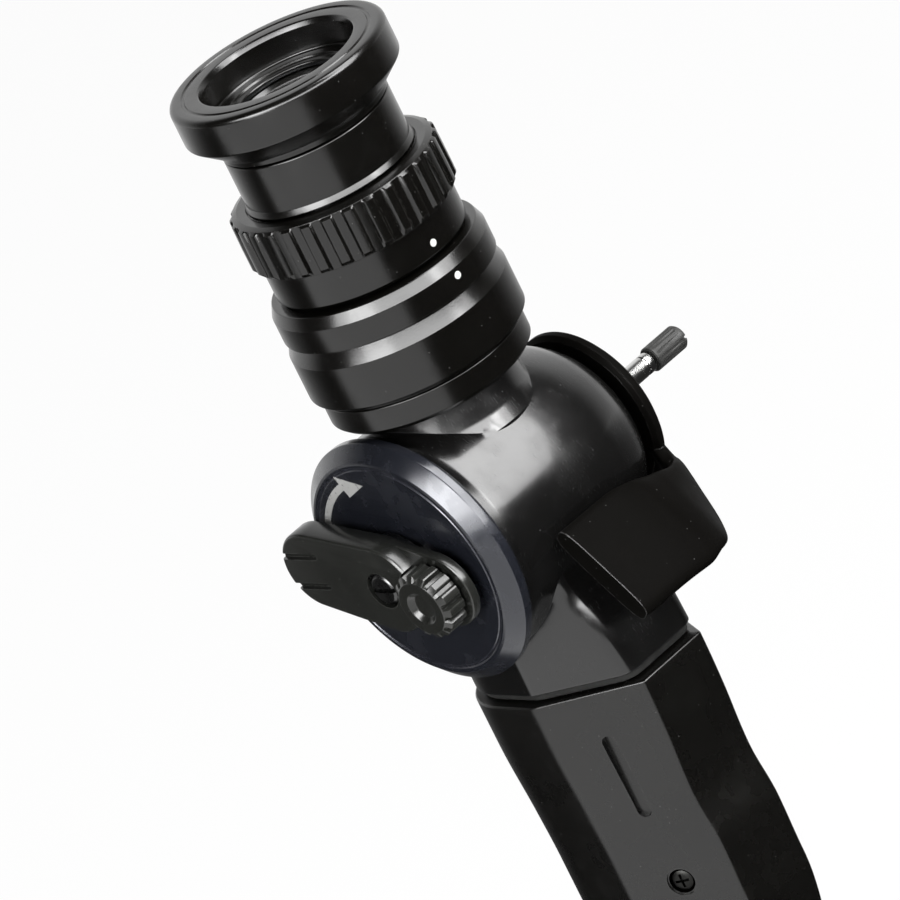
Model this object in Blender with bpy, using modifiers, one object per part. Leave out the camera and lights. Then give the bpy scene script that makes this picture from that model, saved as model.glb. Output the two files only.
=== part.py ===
"""Control section of a flexible fibre endoscope, as an assembly of separate pieces.

The scope stands upright: +Z runs up the body to the eyepiece, -Y is the thumb side and the
origin is the centre of the angulation drum, where the body axis crosses the drum axis (X).
"""

import math

import bmesh
import bpy
from mathutils import Matrix, Vector

MM = 0.001

# Fits
FIT = 0.3 * MM  # gap between pieces that touch
BIG_STEPS = 38  # facets round the outer rings
SMALL_STEPS = 20  # facets round shafts and inner rings
TINY_STEPS = 12  # facets round wires and screws

# Eyepiece, measured up the body axis
EYECUP_TOP = 73.5 * MM
EYECUP_RADIUS = 16.7 * MM
EYECUP_LIP_HEIGHT = 5.6 * MM
EYECUP_HEIGHT = 9.7 * MM
RECESS_RADIUS = 11.7 * MM
RECESS_DEPTH = 4.7 * MM
EYECUP_FLOOR = 0.8 * MM
EYE_OPENING_RADIUS = 8.0 * MM
NECK_RADIUS = 12.8 * MM
SPIGOT_RADIUS = 10.2 * MM
SLEEVE_RADIUS = 11.0 * MM
SLEEVE_LENGTH = 16.8 * MM
TUBE_FLANGE_RADIUS = 12.0 * MM
TUBE_FLANGE_HEIGHT = 2.0 * MM
CELL_BORE_RADIUS = 9.2 * MM
LENS_SEAT_WIDTH = 1.0 * MM
LENS_THICKNESS = 2.4 * MM
LENS_CROWN = 1.1 * MM
RETAINER_HEIGHT = 1.2 * MM
CELL_HEIGHT = 9.0 * MM
CELL_WALL = 1.4 * MM
CELL_TRAVEL = 2.0 * MM
FIELD_LENS_THICKNESS = 3.0 * MM
CAM_PIN_RADIUS = 0.8 * MM
CAM_HEIGHT = 48.3 * MM

# Dioptre ring
DIOPTRE_TOP = 55.0 * MM
RIB_BAND_BOTTOM = 46.8 * MM
SKIRT_BOTTOM = 40.9 * MM
SKIRT_RADIUS = 14.8 * MM
RIB_RADIUS = 16.1 * MM
RIB_HEIGHT = 0.55 * MM
RIB_WIDTH = 1.7 * MM
RIB_COUNT = 30
CAM_GROOVE_DEPTH = 1.6 * MM
EDGE = 0.7 * MM  # chamfer on the outer rings

# Ocular barrel and body ring
BARREL_RADIUS = 16.9 * MM
BARREL_BOTTOM = 25.0 * MM
BARREL_BORE = 12.6 * MM
BODY_RING_RADIUS = 15.7 * MM
BODY_RING_BOTTOM = 20.5 * MM
BODY_RING_SPIGOT = 2.7 * MM
COLLAR_RADIUS = 12.4 * MM
COLLAR_BORE = 8.0 * MM
COLLAR_TOP = 23.2 * MM
LOCK_RING_HEIGHT = 2.0 * MM
LOCK_RING_WALL = 2.8 * MM
FERRULE_RADIUS = 3.0 * MM
FERRULE_BOTTOM = 21.0 * MM
FERRULE_TOP = 34.0 * MM
IMAGE_GUIDE_RADIUS = 1.2 * MM
IMAGE_GUIDE_BOTTOM = -104.0 * MM

# Drum, turned about X
DRUM_RADIUS = 18.8 * MM
DRUM_LEFT = -14.2 * MM
DRUM_RIGHT = 20.3 * MM
DRUM_WALL = 3.4 * MM
CAVITY_LEFT = -12.2 * MM
CAVITY_RIGHT = 13.0 * MM
BUSH_RADIUS = 5.5 * MM

# Shafts, pulleys and wires
SHAFT_RADIUS = 3.0 * MM
AXLE_RADIUS = 1.5 * MM
PULLEY_RADIUS = 6.2 * MM
PULLEY_WIDTH = 2.6 * MM
PULLEY_GROOVE = 0.7 * MM
PULLEY_X = 7.5 * MM
WIRE_RADIUS = 0.45 * MM
WIRE_BOTTOM = -62.0 * MM
WIRE_SLEEVE_RADIUS = 1.3 * MM
WIRE_SLEEVE_TOP = -33.0 * MM
WIRE_SLEEVE_LENGTH = 6.0 * MM
WIRE_OFFSET = PULLEY_RADIUS + FIT + WIRE_RADIUS

# Chassis between the pulleys
CHEEK_X = 3.4 * MM
CHEEK_THICKNESS = 1.2 * MM
CHEEK_FRONT = 8.6 * MM
CHEEK_BACK = 4.0 * MM
CHEEK_TOP = 5.0 * MM
CHASSIS_FLANGE = 1.7 * MM
GUIDE_HOLE = 0.95 * MM

# Side disc, wing and lock knob on the left
DISC_RADIUS = 20.0 * MM
DISC_FACE_RADIUS = 17.7 * MM
DISC_FACE_X = -18.5 * MM
DISC_RIM_X = -16.5 * MM
WASHER_RADIUS = 6.4 * MM
WASHER_THICKNESS = 0.9 * MM
WING_THICKNESS = 4.2 * MM
WING_ARM_THICKNESS = 1.6 * MM
WING_HUB_RADIUS = 7.2 * MM
LOBE_Y = 13.3 * MM
LOBE_Z = 3.0 * MM
LOBE_RADIUS = 6.3 * MM
LOBE_GROOVE_WIDTH = 1.1 * MM
LOBE_GROOVE_DEPTH = 0.8 * MM
LOCK_Y = -0.465 * DISC_RADIUS
LOCK_Z = -1.6 * MM
LOCK_END_RADIUS = 6.0 * MM
LOCK_RADIUS = 4.9 * MM
LOCK_HEIGHT = 4.1 * MM
LOCK_SPINDLE_RADIUS = 1.4 * MM
LOCK_RIBS = 14
WING_BORE_DEPTH = 1.5 * MM
WING_SHOULDER = 0.9 * MM
SCREW_HEAD_RADIUS = 2.6 * MM

# Thumb lever and vent on the right
LEVER_HUB_RADIUS = 13.5 * MM
LEVER_HUB_X = 20.9 * MM
LEVER_HUB_THICKNESS = 2.8 * MM
PADDLE_HALF_LENGTH = 8.6 * MM
PADDLE_HALF_THICKNESS = 1.8 * MM
PADDLE_SLOPE = math.radians(53)
PADDLE_Y = -25.0 * MM
PADDLE_Z = -8.6 * MM
PADDLE_LEFT = -6.6 * MM
LEVER_SECTIONS = (  # inset, share of PADDLE_Y, rise, share of the length, lean, turn, half thickness
    (0.0, 0.08, 7.6 * MM, 0.90, 0.25, 0.0, 1.25 * MM),
    (0.0, 0.38, 1.1 * MM, 0.66, 0.25, 0.0, 1.25 * MM),
    (0.8 * MM, 0.60, -4.0 * MM, 0.66, 0.25, 0.3, 1.53 * MM),
    (3.6 * MM, 0.81, -3.6 * MM, 0.74, 0.55, 0.62, 1.7 * MM),
    (8.6 * MM, 0.95, -1.8 * MM, 0.86, 1.0, 0.86, 1.8 * MM),
    (14.0 * MM, 1.0, -0.8 * MM, 0.97, 1.0, 1.0, 1.8 * MM),
    (19.0 * MM, 1.0, -0.2 * MM, 1.0, 1.0, 1.0, 1.8 * MM),
)
HUB_CAP_RADIUS = 5.5 * MM
HUB_CAP_THICKNESS = 1.5 * MM
VENT_STEM_RADIUS = 1.6 * MM
VENT_STEM_LENGTH = 9.6 * MM
VENT_BASE_RADIUS = 2.8 * MM
VENT_CAP_RADIUS = 2.0 * MM
VENT_CAP_LENGTH = 6.5 * MM

# Neck and grip
NECK_BOTTOM = -25.2 * MM
GRIP_HALF_WIDTH = 13.5 * MM
GRIP_FRONT_HALF_WIDTH = 6.4 * MM
GRIP_SIDE_FRONT = 5.6 * MM
GRIP_BACK_CENTRE = 2.5 * MM
GRIP_BACK_DEPTH = 11.5 * MM
GRIP_WALL = 2.0 * MM
GRIP_SECTIONS = (  # drop below the top, depth to the front, half width, roundness, share of the end radius
    (0.7 * MM, 22.4 * MM, 14.2 * MM, 0.0, 1.0),
    (8.0 * MM, 22.1 * MM, 14.2 * MM, 0.0, 1.0),
    (20.0 * MM, 21.1 * MM, 13.7 * MM, 0.0, 1.0),
    (28.0 * MM, 22.0 * MM, GRIP_HALF_WIDTH, 0.0, 1.0),
    (38.0 * MM, 21.6 * MM, GRIP_HALF_WIDTH, 0.0, 1.0),
    (54.0 * MM, 21.6 * MM, GRIP_HALF_WIDTH, 0.3, 1.13),
    (69.0 * MM, 21.6 * MM, GRIP_HALF_WIDTH, 0.75, 1.06),
)
GRIP_BOTTOM = -108.0 * MM
GRIP_END_RADIUS = 11.4 * MM
SEAL_HEIGHT = 1.0 * MM
GROOVE_LENGTH = 14.0 * MM
GROOVE_WIDTH = 1.7 * MM
GROOVE_DEPTH = 0.9 * MM
GROOVE_Z = -41.0 * MM
GRIP_SCREW_Z = -59.5 * MM
GRIP_SCREW_RADIUS = 1.7 * MM
END_RING_HEIGHT = 4.7 * MM
END_RING_BORE = 7.0 * MM
GLAND_LENGTH = 10.7 * MM
GLAND_TOP_RADIUS = 9.6 * MM
GLAND_TIP_RADIUS = 6.6 * MM
GLAND_BORE = 3.7 * MM

# Light guide inlet on the back
INLET_Z = -16.0 * MM
INLET_SEAT_Y = 16.5 * MM
INLET_FLANGE_RADIUS = 5.6 * MM
INLET_BOSS_MARGIN = 0.5 * MM
INLET_FLANGE = 1.8 * MM
INLET_RADIUS = 4.6 * MM
INLET_LENGTH = 15.0 * MM
INLET_BORE = 2.1 * MM
BUNDLE_RADIUS = 1.4 * MM


def clear_scene():
    """Remove every object, so that the file starts empty."""
    for item in list(bpy.data.objects):
        bpy.data.objects.remove(item, do_unlink=True)


def new_collection(name, hidden=False):
    """Return a collection linked to the scene."""
    group = bpy.data.collections.new(name)
    group.hide_render = hidden
    bpy.context.scene.collection.children.link(group)
    return group


def finish(name, colour, roughness, metallic=0.0):
    """Return a Principled material."""
    material = bpy.data.materials.new(name)
    material.use_nodes = True
    shader = material.node_tree.nodes["Principled BSDF"]
    shader.inputs["Base Color"].default_value = (*colour, 1.0)
    shader.inputs["Roughness"].default_value = roughness
    shader.inputs["Metallic"].default_value = metallic
    return material


clear_scene()
PIECES = new_collection("flexible_endoscope")
CUTTERS = new_collection("cutters", hidden=True)

BLACK_PLASTIC = finish("black_plastic", (0.028, 0.027, 0.026), 0.42)
GLOSS_BLACK = finish("gloss_black", (0.012, 0.012, 0.014), 0.16)
BLUE_BLACK = finish("blue_black_anodised", (0.03, 0.034, 0.06), 0.25, 0.6)
BLACK_RUBBER = finish("black_rubber", (0.02, 0.02, 0.02), 0.75)
STEEL = finish("stainless_steel", (0.62, 0.62, 0.6), 0.2, 1.0)
BRASS = finish("brass", (0.6, 0.45, 0.2), 0.3, 1.0)
GLASS = finish("coated_glass", (0.08, 0.1, 0.11), 0.03)
FIBRE = finish("fibre_bundle", (0.35, 0.33, 0.28), 0.5)
ALUMINIUM = finish("aluminium", (0.55, 0.55, 0.56), 0.35, 1.0)


def add(name, mesh, material=None, location=(0, 0, 0), rotation=(0, 0, 0)):
    """Put a mesh in the scene, as a piece when it has a material and as a cutter when not."""
    item = bpy.data.objects.new(name, mesh)
    item.location = location
    item.rotation_euler = rotation
    if material:
        mesh.materials.append(material)
        PIECES.objects.link(item)
    else:
        CUTTERS.objects.link(item)
        item.hide_render = True
        item.display_type = "WIRE"
    return item


TURNED_ALONG = {
    "Z": (0, 0, 0),
    "X": (0, math.radians(90), 0),
    "Y": (math.radians(-90), 0, 0),
}


def turned(name, profile, material=None, steps=SMALL_STEPS, along="Z", location=(0, 0, 0)):
    """Turn a profile of (radius, height) points about an axis.

    The points run down the outer side. A ring's go on up its bore, and a solid's end on the axis.
    """
    ring = min(radius for radius, _ in profile) > 0
    count = len(profile)
    mesh = bpy.data.meshes.new(name)
    edges = [(i, i + 1) for i in range(count - 1)]
    if ring:
        edges.append((count - 1, 0))
    mesh.from_pydata([(radius, 0, height) for radius, height in profile], edges, [])
    item = add(name, mesh, material, location, TURNED_ALONG[along])
    screw = item.modifiers.new("turn", "SCREW")
    screw.steps = steps
    screw.render_steps = steps
    screw.use_merge_vertices = True
    screw.merge_threshold = 0.00001
    screw.use_smooth_shade = False
    return item


def rod(radius, top, bottom, edge=0.0):
    """Profile of a solid cylinder with chamfered ends."""
    if not edge:
        return [(0, top), (radius, top), (radius, bottom), (0, bottom)]
    return [
        (0, top),
        (radius - edge, top),
        (radius, top - edge),
        (radius, bottom + edge),
        (radius - edge, bottom),
        (0, bottom),
    ]


def tube(outer, inner, top, bottom):
    """Profile of a plain ring."""
    return [(outer, top), (outer, bottom), (inner, bottom), (inner, top)]


def box(name, low, high, material=None, location=(0, 0, 0), rotation=(0, 0, 0)):
    """A block between two corners."""
    low, high = Vector(low), Vector(high)
    mesh = bpy.data.meshes.new(name)
    block = bmesh.new()
    bmesh.ops.create_cube(block, size=1.0)
    bmesh.ops.scale(block, vec=high - low, verts=block.verts)
    bmesh.ops.translate(block, vec=(low + high) / 2, verts=block.verts)
    block.to_mesh(mesh)
    block.free()
    return add(name, mesh, material, location, rotation)


def plate(name, outline, low, high, material=None, basis=None):
    """A flat outline with thickness from low to high along the basis' third axis."""
    curve = bpy.data.curves.new(name, "CURVE")
    curve.dimensions = "2D"
    curve.fill_mode = "BOTH"
    curve.extrude = (high - low) / 2
    spline = curve.splines.new("POLY")
    spline.points.add(len(outline) - 1)
    for point, (x, y) in zip(spline.points, outline):
        point.co = (x, y, 0, 1)
    spline.use_cyclic_u = True
    flat = bpy.data.objects.new(name + "_outline", curve)
    CUTTERS.objects.link(flat)
    flat.matrix_world = (basis or Matrix()) @ Matrix.Translation((0, 0, (low + high) / 2))
    bpy.context.view_layer.update()
    graph = bpy.context.evaluated_depsgraph_get()
    mesh = bpy.data.meshes.new_from_object(flat.evaluated_get(graph))
    solid = bmesh.new()
    solid.from_mesh(mesh)
    bmesh.ops.remove_doubles(solid, verts=solid.verts, dist=0.000001)
    bmesh.ops.recalc_face_normals(solid, faces=solid.faces)
    solid.to_mesh(mesh)
    solid.free()
    placed = flat.matrix_world.copy()
    bpy.data.objects.remove(flat, do_unlink=True)
    item = add(name, mesh, material)
    item.matrix_world = placed
    return item


def lofted(name, loops, material=None):
    """Skin a solid through closed loops of equally many points."""
    mesh = bpy.data.meshes.new(name)
    skin = bmesh.new()
    rows = [[skin.verts.new(point) for point in loop] for loop in loops]
    for lower, upper in zip(rows, rows[1:]):
        for i in range(len(lower)):
            j = (i + 1) % len(lower)
            skin.faces.new((lower[i], lower[j], upper[j], upper[i]))
    skin.faces.new(rows[0])
    skin.faces.new(rows[-1])
    bmesh.ops.recalc_face_normals(skin, faces=skin.faces)
    skin.to_mesh(mesh)
    skin.free()
    return add(name, mesh, material)


def combine(item, tool, operation):
    """Cut, or join, a tool with a piece."""
    change = item.modifiers.new(tool.name, "BOOLEAN")
    change.operation = operation
    change.object = tool
    change.solver = "EXACT"


def cut(item, tool):
    """Take a tool away from a piece."""
    combine(item, tool, "DIFFERENCE")


def join(item, tool):
    """Add a tool to a piece."""
    combine(item, tool, "UNION")


def circle_points(y, z, radius, count=24):
    """Points round a circle."""
    turns = [2 * math.pi * i / count for i in range(count)]
    return [(y + radius * math.cos(a), z + radius * math.sin(a)) for a in turns]


def wrapped(circles):
    """Outline of a belt pulled round circles, each given as (y, z, radius)."""
    points = sorted({point for circle in circles for point in circle_points(*circle)})

    def half(ordered):
        chain = []
        for point in ordered:
            while len(chain) > 1:
                (ax, ay), (bx, by) = chain[-2], chain[-1]
                if (bx - ax) * (point[1] - ay) - (by - ay) * (point[0] - ax) > 0:
                    break
                chain.pop()
            chain.append(point)
        return chain[:-1]

    return half(points) + half(reversed(points))


# Maps an outline's (y, z) to the world's Y and Z, with its thickness along +X.
FACING_X = Matrix(((0, 0, 1, 0), (1, 0, 0, 0), (0, 1, 0, 0), (0, 0, 0, 1)))


def neck_outline(front, front_half_width, side_front, inset=0.0, width=GRIP_HALF_WIDTH):
    """Eight-sided front half and round back half of the neck and grip, as (x, y) points."""
    side = width - inset
    half = [(front_half_width - inset / 2, -front + inset), (side, -side_front)]
    depth = GRIP_BACK_DEPTH * width / GRIP_HALF_WIDTH - inset
    turns = [math.radians(angle) for angle in (0, 25, 50, 72, 90)]
    half += [(side * math.cos(a), GRIP_BACK_CENTRE + depth * math.sin(a)) for a in turns]
    return half + [(-x, y) for x, y in reversed(half) if x > FIT]


def at_height(outline, z, scale=1.0):
    """Lift an outline to a height."""
    return [(x * scale, y * scale, z) for x, y in outline]


def round_loop(outline, radius, z, blend):
    """Blend an outline towards a circle, point by point."""
    loop = []
    for x, y in outline:
        reach = math.hypot(x, y)
        share = (1 - blend) + blend * radius / reach
        loop.append((x * share, y * share, z))
    return loop


# Eyepiece

NECK_TOP = EYECUP_TOP - EYECUP_HEIGHT - FIT
NECK_SHOULDER = DIOPTRE_TOP + FIT
RECESS_FLOOR = EYECUP_TOP - RECESS_DEPTH
SPIGOT_TOP = RECESS_FLOOR - EYECUP_FLOOR - FIT
LENS_SEAT = SPIGOT_TOP - RETAINER_HEIGHT - LENS_THICKNESS - LENS_CROWN
FLANGE_TOP = NECK_SHOULDER - SLEEVE_LENGTH
TUBE_BOTTOM = FLANGE_TOP - TUBE_FLANGE_HEIGHT


def make_eyecup():
    """Flared cup that the eye, or a camera coupler, rests against."""
    lip_bottom = EYECUP_TOP - EYECUP_LIP_HEIGHT
    bottom = EYECUP_TOP - EYECUP_HEIGHT
    profile = [
        (EYECUP_RADIUS - EDGE, EYECUP_TOP),
        (EYECUP_RADIUS, EYECUP_TOP - EDGE),
        (EYECUP_RADIUS, lip_bottom),
        (NECK_RADIUS + EDGE, bottom + EDGE / 2),
        (NECK_RADIUS, bottom),
        (SPIGOT_RADIUS + FIT, bottom),
        (SPIGOT_RADIUS + FIT, RECESS_FLOOR - EYECUP_FLOOR),
        (EYE_OPENING_RADIUS, RECESS_FLOOR - EYECUP_FLOOR),
        (EYE_OPENING_RADIUS, RECESS_FLOOR),
        (RECESS_RADIUS, RECESS_FLOOR),
        (RECESS_RADIUS, EYECUP_TOP - EDGE),
        (RECESS_RADIUS + EDGE, EYECUP_TOP),
    ]
    turned("eyecup", profile, BLACK_PLASTIC, BIG_STEPS)


def make_eyepiece_tube():
    """Tube that holds the lenses, with its neck showing and its sleeve inside the rings."""
    pocket = CELL_BORE_RADIUS + FIT / 3
    profile = [
        (SPIGOT_RADIUS, SPIGOT_TOP),
        (SPIGOT_RADIUS, NECK_TOP),
        (NECK_RADIUS, NECK_TOP),
        (NECK_RADIUS, NECK_SHOULDER),
        (SLEEVE_RADIUS, NECK_SHOULDER),
        (SLEEVE_RADIUS, FLANGE_TOP),
        (TUBE_FLANGE_RADIUS, FLANGE_TOP),
        (TUBE_FLANGE_RADIUS, TUBE_BOTTOM),
        (CELL_BORE_RADIUS, TUBE_BOTTOM),
        (CELL_BORE_RADIUS, LENS_SEAT - LENS_SEAT_WIDTH),
        (pocket - LENS_SEAT_WIDTH, LENS_SEAT - LENS_SEAT_WIDTH),
        (pocket - LENS_SEAT_WIDTH, LENS_SEAT),
        (pocket, LENS_SEAT),
        (pocket, SPIGOT_TOP),
    ]
    barrel = turned("eyepiece_tube", profile, BLACK_PLASTIC, BIG_STEPS)
    reach = CELL_TRAVEL + CAM_PIN_RADIUS + FIT
    width = CAM_PIN_RADIUS + FIT
    slot = box(
        "cam_slot",
        (-width, CELL_BORE_RADIUS - MM, CAM_HEIGHT - reach),
        (width, SLEEVE_RADIUS + MM, CAM_HEIGHT + reach),
    )
    cut(barrel, slot)


def make_eye_lens():
    """Eye lens on its seat, and the threaded ring that holds it."""
    radius = CELL_BORE_RADIUS + FIT / 3 - FIT
    bottom = LENS_SEAT + FIT
    edge = bottom + LENS_THICKNESS
    profile = [(0, edge + LENS_CROWN - FIT)]
    for share in (0.35, 0.6, 0.8, 1.0):
        profile.append((radius * share, edge + (LENS_CROWN - FIT) * (1 - share**2)))
    profile += [(radius, bottom), (0, bottom)]
    turned("eye_lens", profile, GLASS)
    inner = EYE_OPENING_RADIUS - FIT
    turned("lens_retainer", tube(radius, inner, SPIGOT_TOP, SPIGOT_TOP - RETAINER_HEIGHT), BLACK_PLASTIC)


def make_lens_cell():
    """Sliding cell, its lens and the pin that the dioptre ring's cam drives."""
    outer = CELL_BORE_RADIUS - FIT
    inner = outer - CELL_WALL
    bottom = CAM_HEIGHT - CELL_HEIGHT / 2
    lip = bottom + LENS_SEAT_WIDTH
    profile = [
        (outer, bottom + CELL_HEIGHT),
        (outer, bottom),
        (inner - LENS_SEAT_WIDTH, bottom),
        (inner - LENS_SEAT_WIDTH, lip),
        (inner, lip),
        (inner, bottom + CELL_HEIGHT),
    ]
    turned("lens_cell", profile, ALUMINIUM)
    radius = inner - FIT
    low = lip + FIT
    high = low + FIELD_LENS_THICKNESS
    lens = [(0, high + LENS_CROWN)]
    for share in (0.5, 0.8, 1.0):
        lens.append((radius * share, high + LENS_CROWN * (1 - share**2)))
    lens += [(radius, low), (0, low)]
    turned("field_lens", lens, GLASS)
    pin_end = SLEEVE_RADIUS + FIT + CAM_GROOVE_DEPTH - FIT
    pin = rod(CAM_PIN_RADIUS, pin_end, outer + FIT)
    turned("cam_pin", pin, STEEL, TINY_STEPS, "Y", (0, 0, CAM_HEIGHT))


def make_dioptre_ring():
    """Ribbed focusing ring, with the cam groove in its bore."""
    bore = SLEEVE_RADIUS + FIT
    root = RIB_RADIUS - RIB_HEIGHT
    reach = CELL_TRAVEL + CAM_PIN_RADIUS + FIT
    profile = [
        (root - EDGE, DIOPTRE_TOP),
        (root, DIOPTRE_TOP - EDGE),
        (root, RIB_BAND_BOTTOM),
        (SKIRT_RADIUS, RIB_BAND_BOTTOM - EDGE / 2),
        (SKIRT_RADIUS, SKIRT_BOTTOM + EDGE),
        (SKIRT_RADIUS - EDGE, SKIRT_BOTTOM),
        (bore, SKIRT_BOTTOM),
        (bore, CAM_HEIGHT - reach),
        (bore + CAM_GROOVE_DEPTH, CAM_HEIGHT - reach),
        (bore + CAM_GROOVE_DEPTH, CAM_HEIGHT + reach),
        (bore, CAM_HEIGHT + reach),
        (bore, DIOPTRE_TOP),
    ]
    ring = turned("dioptre_ring", profile, BLACK_PLASTIC, BIG_STEPS)
    mesh = bpy.data.meshes.new("dioptre_ribs")
    ribs = bmesh.new()
    height = DIOPTRE_TOP - RIB_BAND_BOTTOM - 2 * EDGE
    middle = (DIOPTRE_TOP + RIB_BAND_BOTTOM) / 2
    for index in range(RIB_COUNT):
        turn = Matrix.Rotation(2 * math.pi * (index + 0.5) / RIB_COUNT, 4, "Z")
        place = Matrix.Translation((RIB_RADIUS - RIB_HEIGHT, 0, middle))
        size = Matrix.Diagonal((2 * RIB_HEIGHT, RIB_WIDTH, height, 1))
        bmesh.ops.create_cube(ribs, size=1.0, matrix=turn @ place @ size)
    ribs.to_mesh(mesh)
    ribs.free()
    join(ring, add("dioptre_ribs", mesh))


def make_barrel():
    """Ocular barrel, the threaded ring inside it and the body ring that it stands on."""
    top = SKIRT_BOTTOM - FIT
    bore = TUBE_FLANGE_RADIUS + FIT
    captured = FLANGE_TOP + FIT
    profile = [
        (BARREL_RADIUS - EDGE, top),
        (BARREL_RADIUS, top - EDGE),
        (BARREL_RADIUS, BARREL_BOTTOM + EDGE),
        (BARREL_RADIUS - EDGE, BARREL_BOTTOM),
        (BARREL_BORE, BARREL_BOTTOM),
        (bore, captured),
        (SLEEVE_RADIUS + FIT, captured),
        (SLEEVE_RADIUS + FIT, top),
    ]
    turned("ocular_barrel", profile, BLACK_PLASTIC, BIG_STEPS)
    lock_top = TUBE_BOTTOM - FIT
    lock_outer = bore - FIT
    lock = tube(lock_outer, lock_outer - LOCK_RING_WALL, lock_top, lock_top - LOCK_RING_HEIGHT)
    turned("tube_lock_ring", lock, BRASS)
    seat = BARREL_BOTTOM - FIT
    spigot = BARREL_BORE - FIT
    inner = COLLAR_RADIUS + FIT
    narrow = COLLAR_BORE + 1.5 * MM
    profile = [
        (spigot, seat + BODY_RING_SPIGOT),
        (spigot, seat),
        (BODY_RING_RADIUS, seat),
        (BODY_RING_RADIUS, BODY_RING_BOTTOM + EDGE),
        (BODY_RING_RADIUS - EDGE, BODY_RING_BOTTOM),
        (inner, BODY_RING_BOTTOM),
        (inner, COLLAR_TOP + FIT),
        (narrow, COLLAR_TOP + FIT),
        (narrow, seat + BODY_RING_SPIGOT),
    ]
    turned("body_ring", profile, BLACK_PLASTIC, BIG_STEPS)
    holder = tube(narrow - FIT, FERRULE_RADIUS + FIT, seat + BODY_RING_SPIGOT - FIT, COLLAR_TOP + FIT)
    turned("ferrule_holder", holder, ALUMINIUM)
    ferrule = tube(FERRULE_RADIUS, IMAGE_GUIDE_RADIUS + FIT, FERRULE_TOP, FERRULE_BOTTOM)
    turned("image_guide_ferrule", ferrule, STEEL)
    guide = rod(IMAGE_GUIDE_RADIUS, FERRULE_TOP, IMAGE_GUIDE_BOTTOM)
    turned("image_guide", guide, FIBRE, TINY_STEPS)


# Body

NECK_TOP_SECTION = (17.6 * MM, 8.2 * MM, 6.5 * MM)
NECK_WAIST_SECTION = (16.2 * MM, 8.0 * MM, 6.0 * MM)
NECK_FOOT_SECTION = (15.6 * MM, 8.0 * MM, 6.0 * MM)
NECK_TOP_Z = -5.0 * MM
NECK_WAIST_Z = -11.0 * MM
NECK_WIDTH = 13.4 * MM
NECK_WALL = 1.8 * MM


def neck_loops(inset):
    """Sections of the neck from the drum down to the grip."""
    sections = ((NECK_TOP_SECTION, NECK_TOP_Z), (NECK_WAIST_SECTION, NECK_WAIST_Z))
    loops = [at_height(neck_outline(*size, inset, NECK_WIDTH), z) for size, z in sections]
    extra = FIT if inset else 0.0
    loops.append(at_height(neck_outline(*NECK_FOOT_SECTION, inset, NECK_WIDTH), NECK_BOTTOM - extra))
    return loops


def drum_profile():
    """Outer profile of the drum, which swells in the middle and rounds off at the lever end."""
    shares = ((1.0, 0.56), (0.965, 0.68), (0.89, 0.80), (0.79, 0.895), (0.65, 0.965), (0.42, 1.0))
    points = [(0, DRUM_RIGHT)]
    for along, across in shares:
        points.append((DRUM_RADIUS * across, DRUM_LEFT + (DRUM_RIGHT - DRUM_LEFT) * along))
    points.append((DRUM_RADIUS, DRUM_LEFT + 0.2 * (DRUM_RIGHT - DRUM_LEFT)))
    points.append((DRUM_RADIUS * 0.94, DRUM_LEFT))
    points.append((0, DRUM_LEFT))
    return points


def make_head_housing():
    """Drum, collar and neck in one hollow moulding."""
    housing = turned("head_housing", drum_profile(), GLOSS_BLACK, BIG_STEPS, "X")
    join(housing, lofted("neck_solid", neck_loops(0.0)))
    collar = rod(COLLAR_RADIUS, COLLAR_TOP, DRUM_RADIUS / 2)
    join(housing, turned("collar_solid", collar, None, BIG_STEPS - 4))
    boss = rod(INLET_FLANGE_RADIUS + INLET_BOSS_MARGIN, INLET_SEAT_Y - FIT, GRIP_BACK_DEPTH - GRIP_WALL)
    join(housing, turned("inlet_boss", boss, None, 24, "Y", (0, 0, INLET_Z)))
    cavity = rod(DRUM_RADIUS - DRUM_WALL, CAVITY_RIGHT, CAVITY_LEFT)
    cut(housing, turned("drum_cavity", cavity, None, 28, "X"))
    neck_cavity = neck_loops(NECK_WALL)
    cut(housing, lofted("neck_cavity", neck_cavity))
    cut(housing, turned("collar_bore", rod(COLLAR_BORE, COLLAR_TOP + MM, 0), None, 24))
    cross = rod(BUSH_RADIUS + FIT, DRUM_RIGHT + MM, DRUM_LEFT - MM)
    cut(housing, turned("bush_bores", cross, None, 22, "X"))
    port = rod(INLET_BORE + BUNDLE_RADIUS, INLET_SEAT_Y + MM, BUNDLE_RADIUS * 2)
    cut(housing, turned("inlet_port", port, None, 14, "Y", (0, 0, INLET_Z)))


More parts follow.
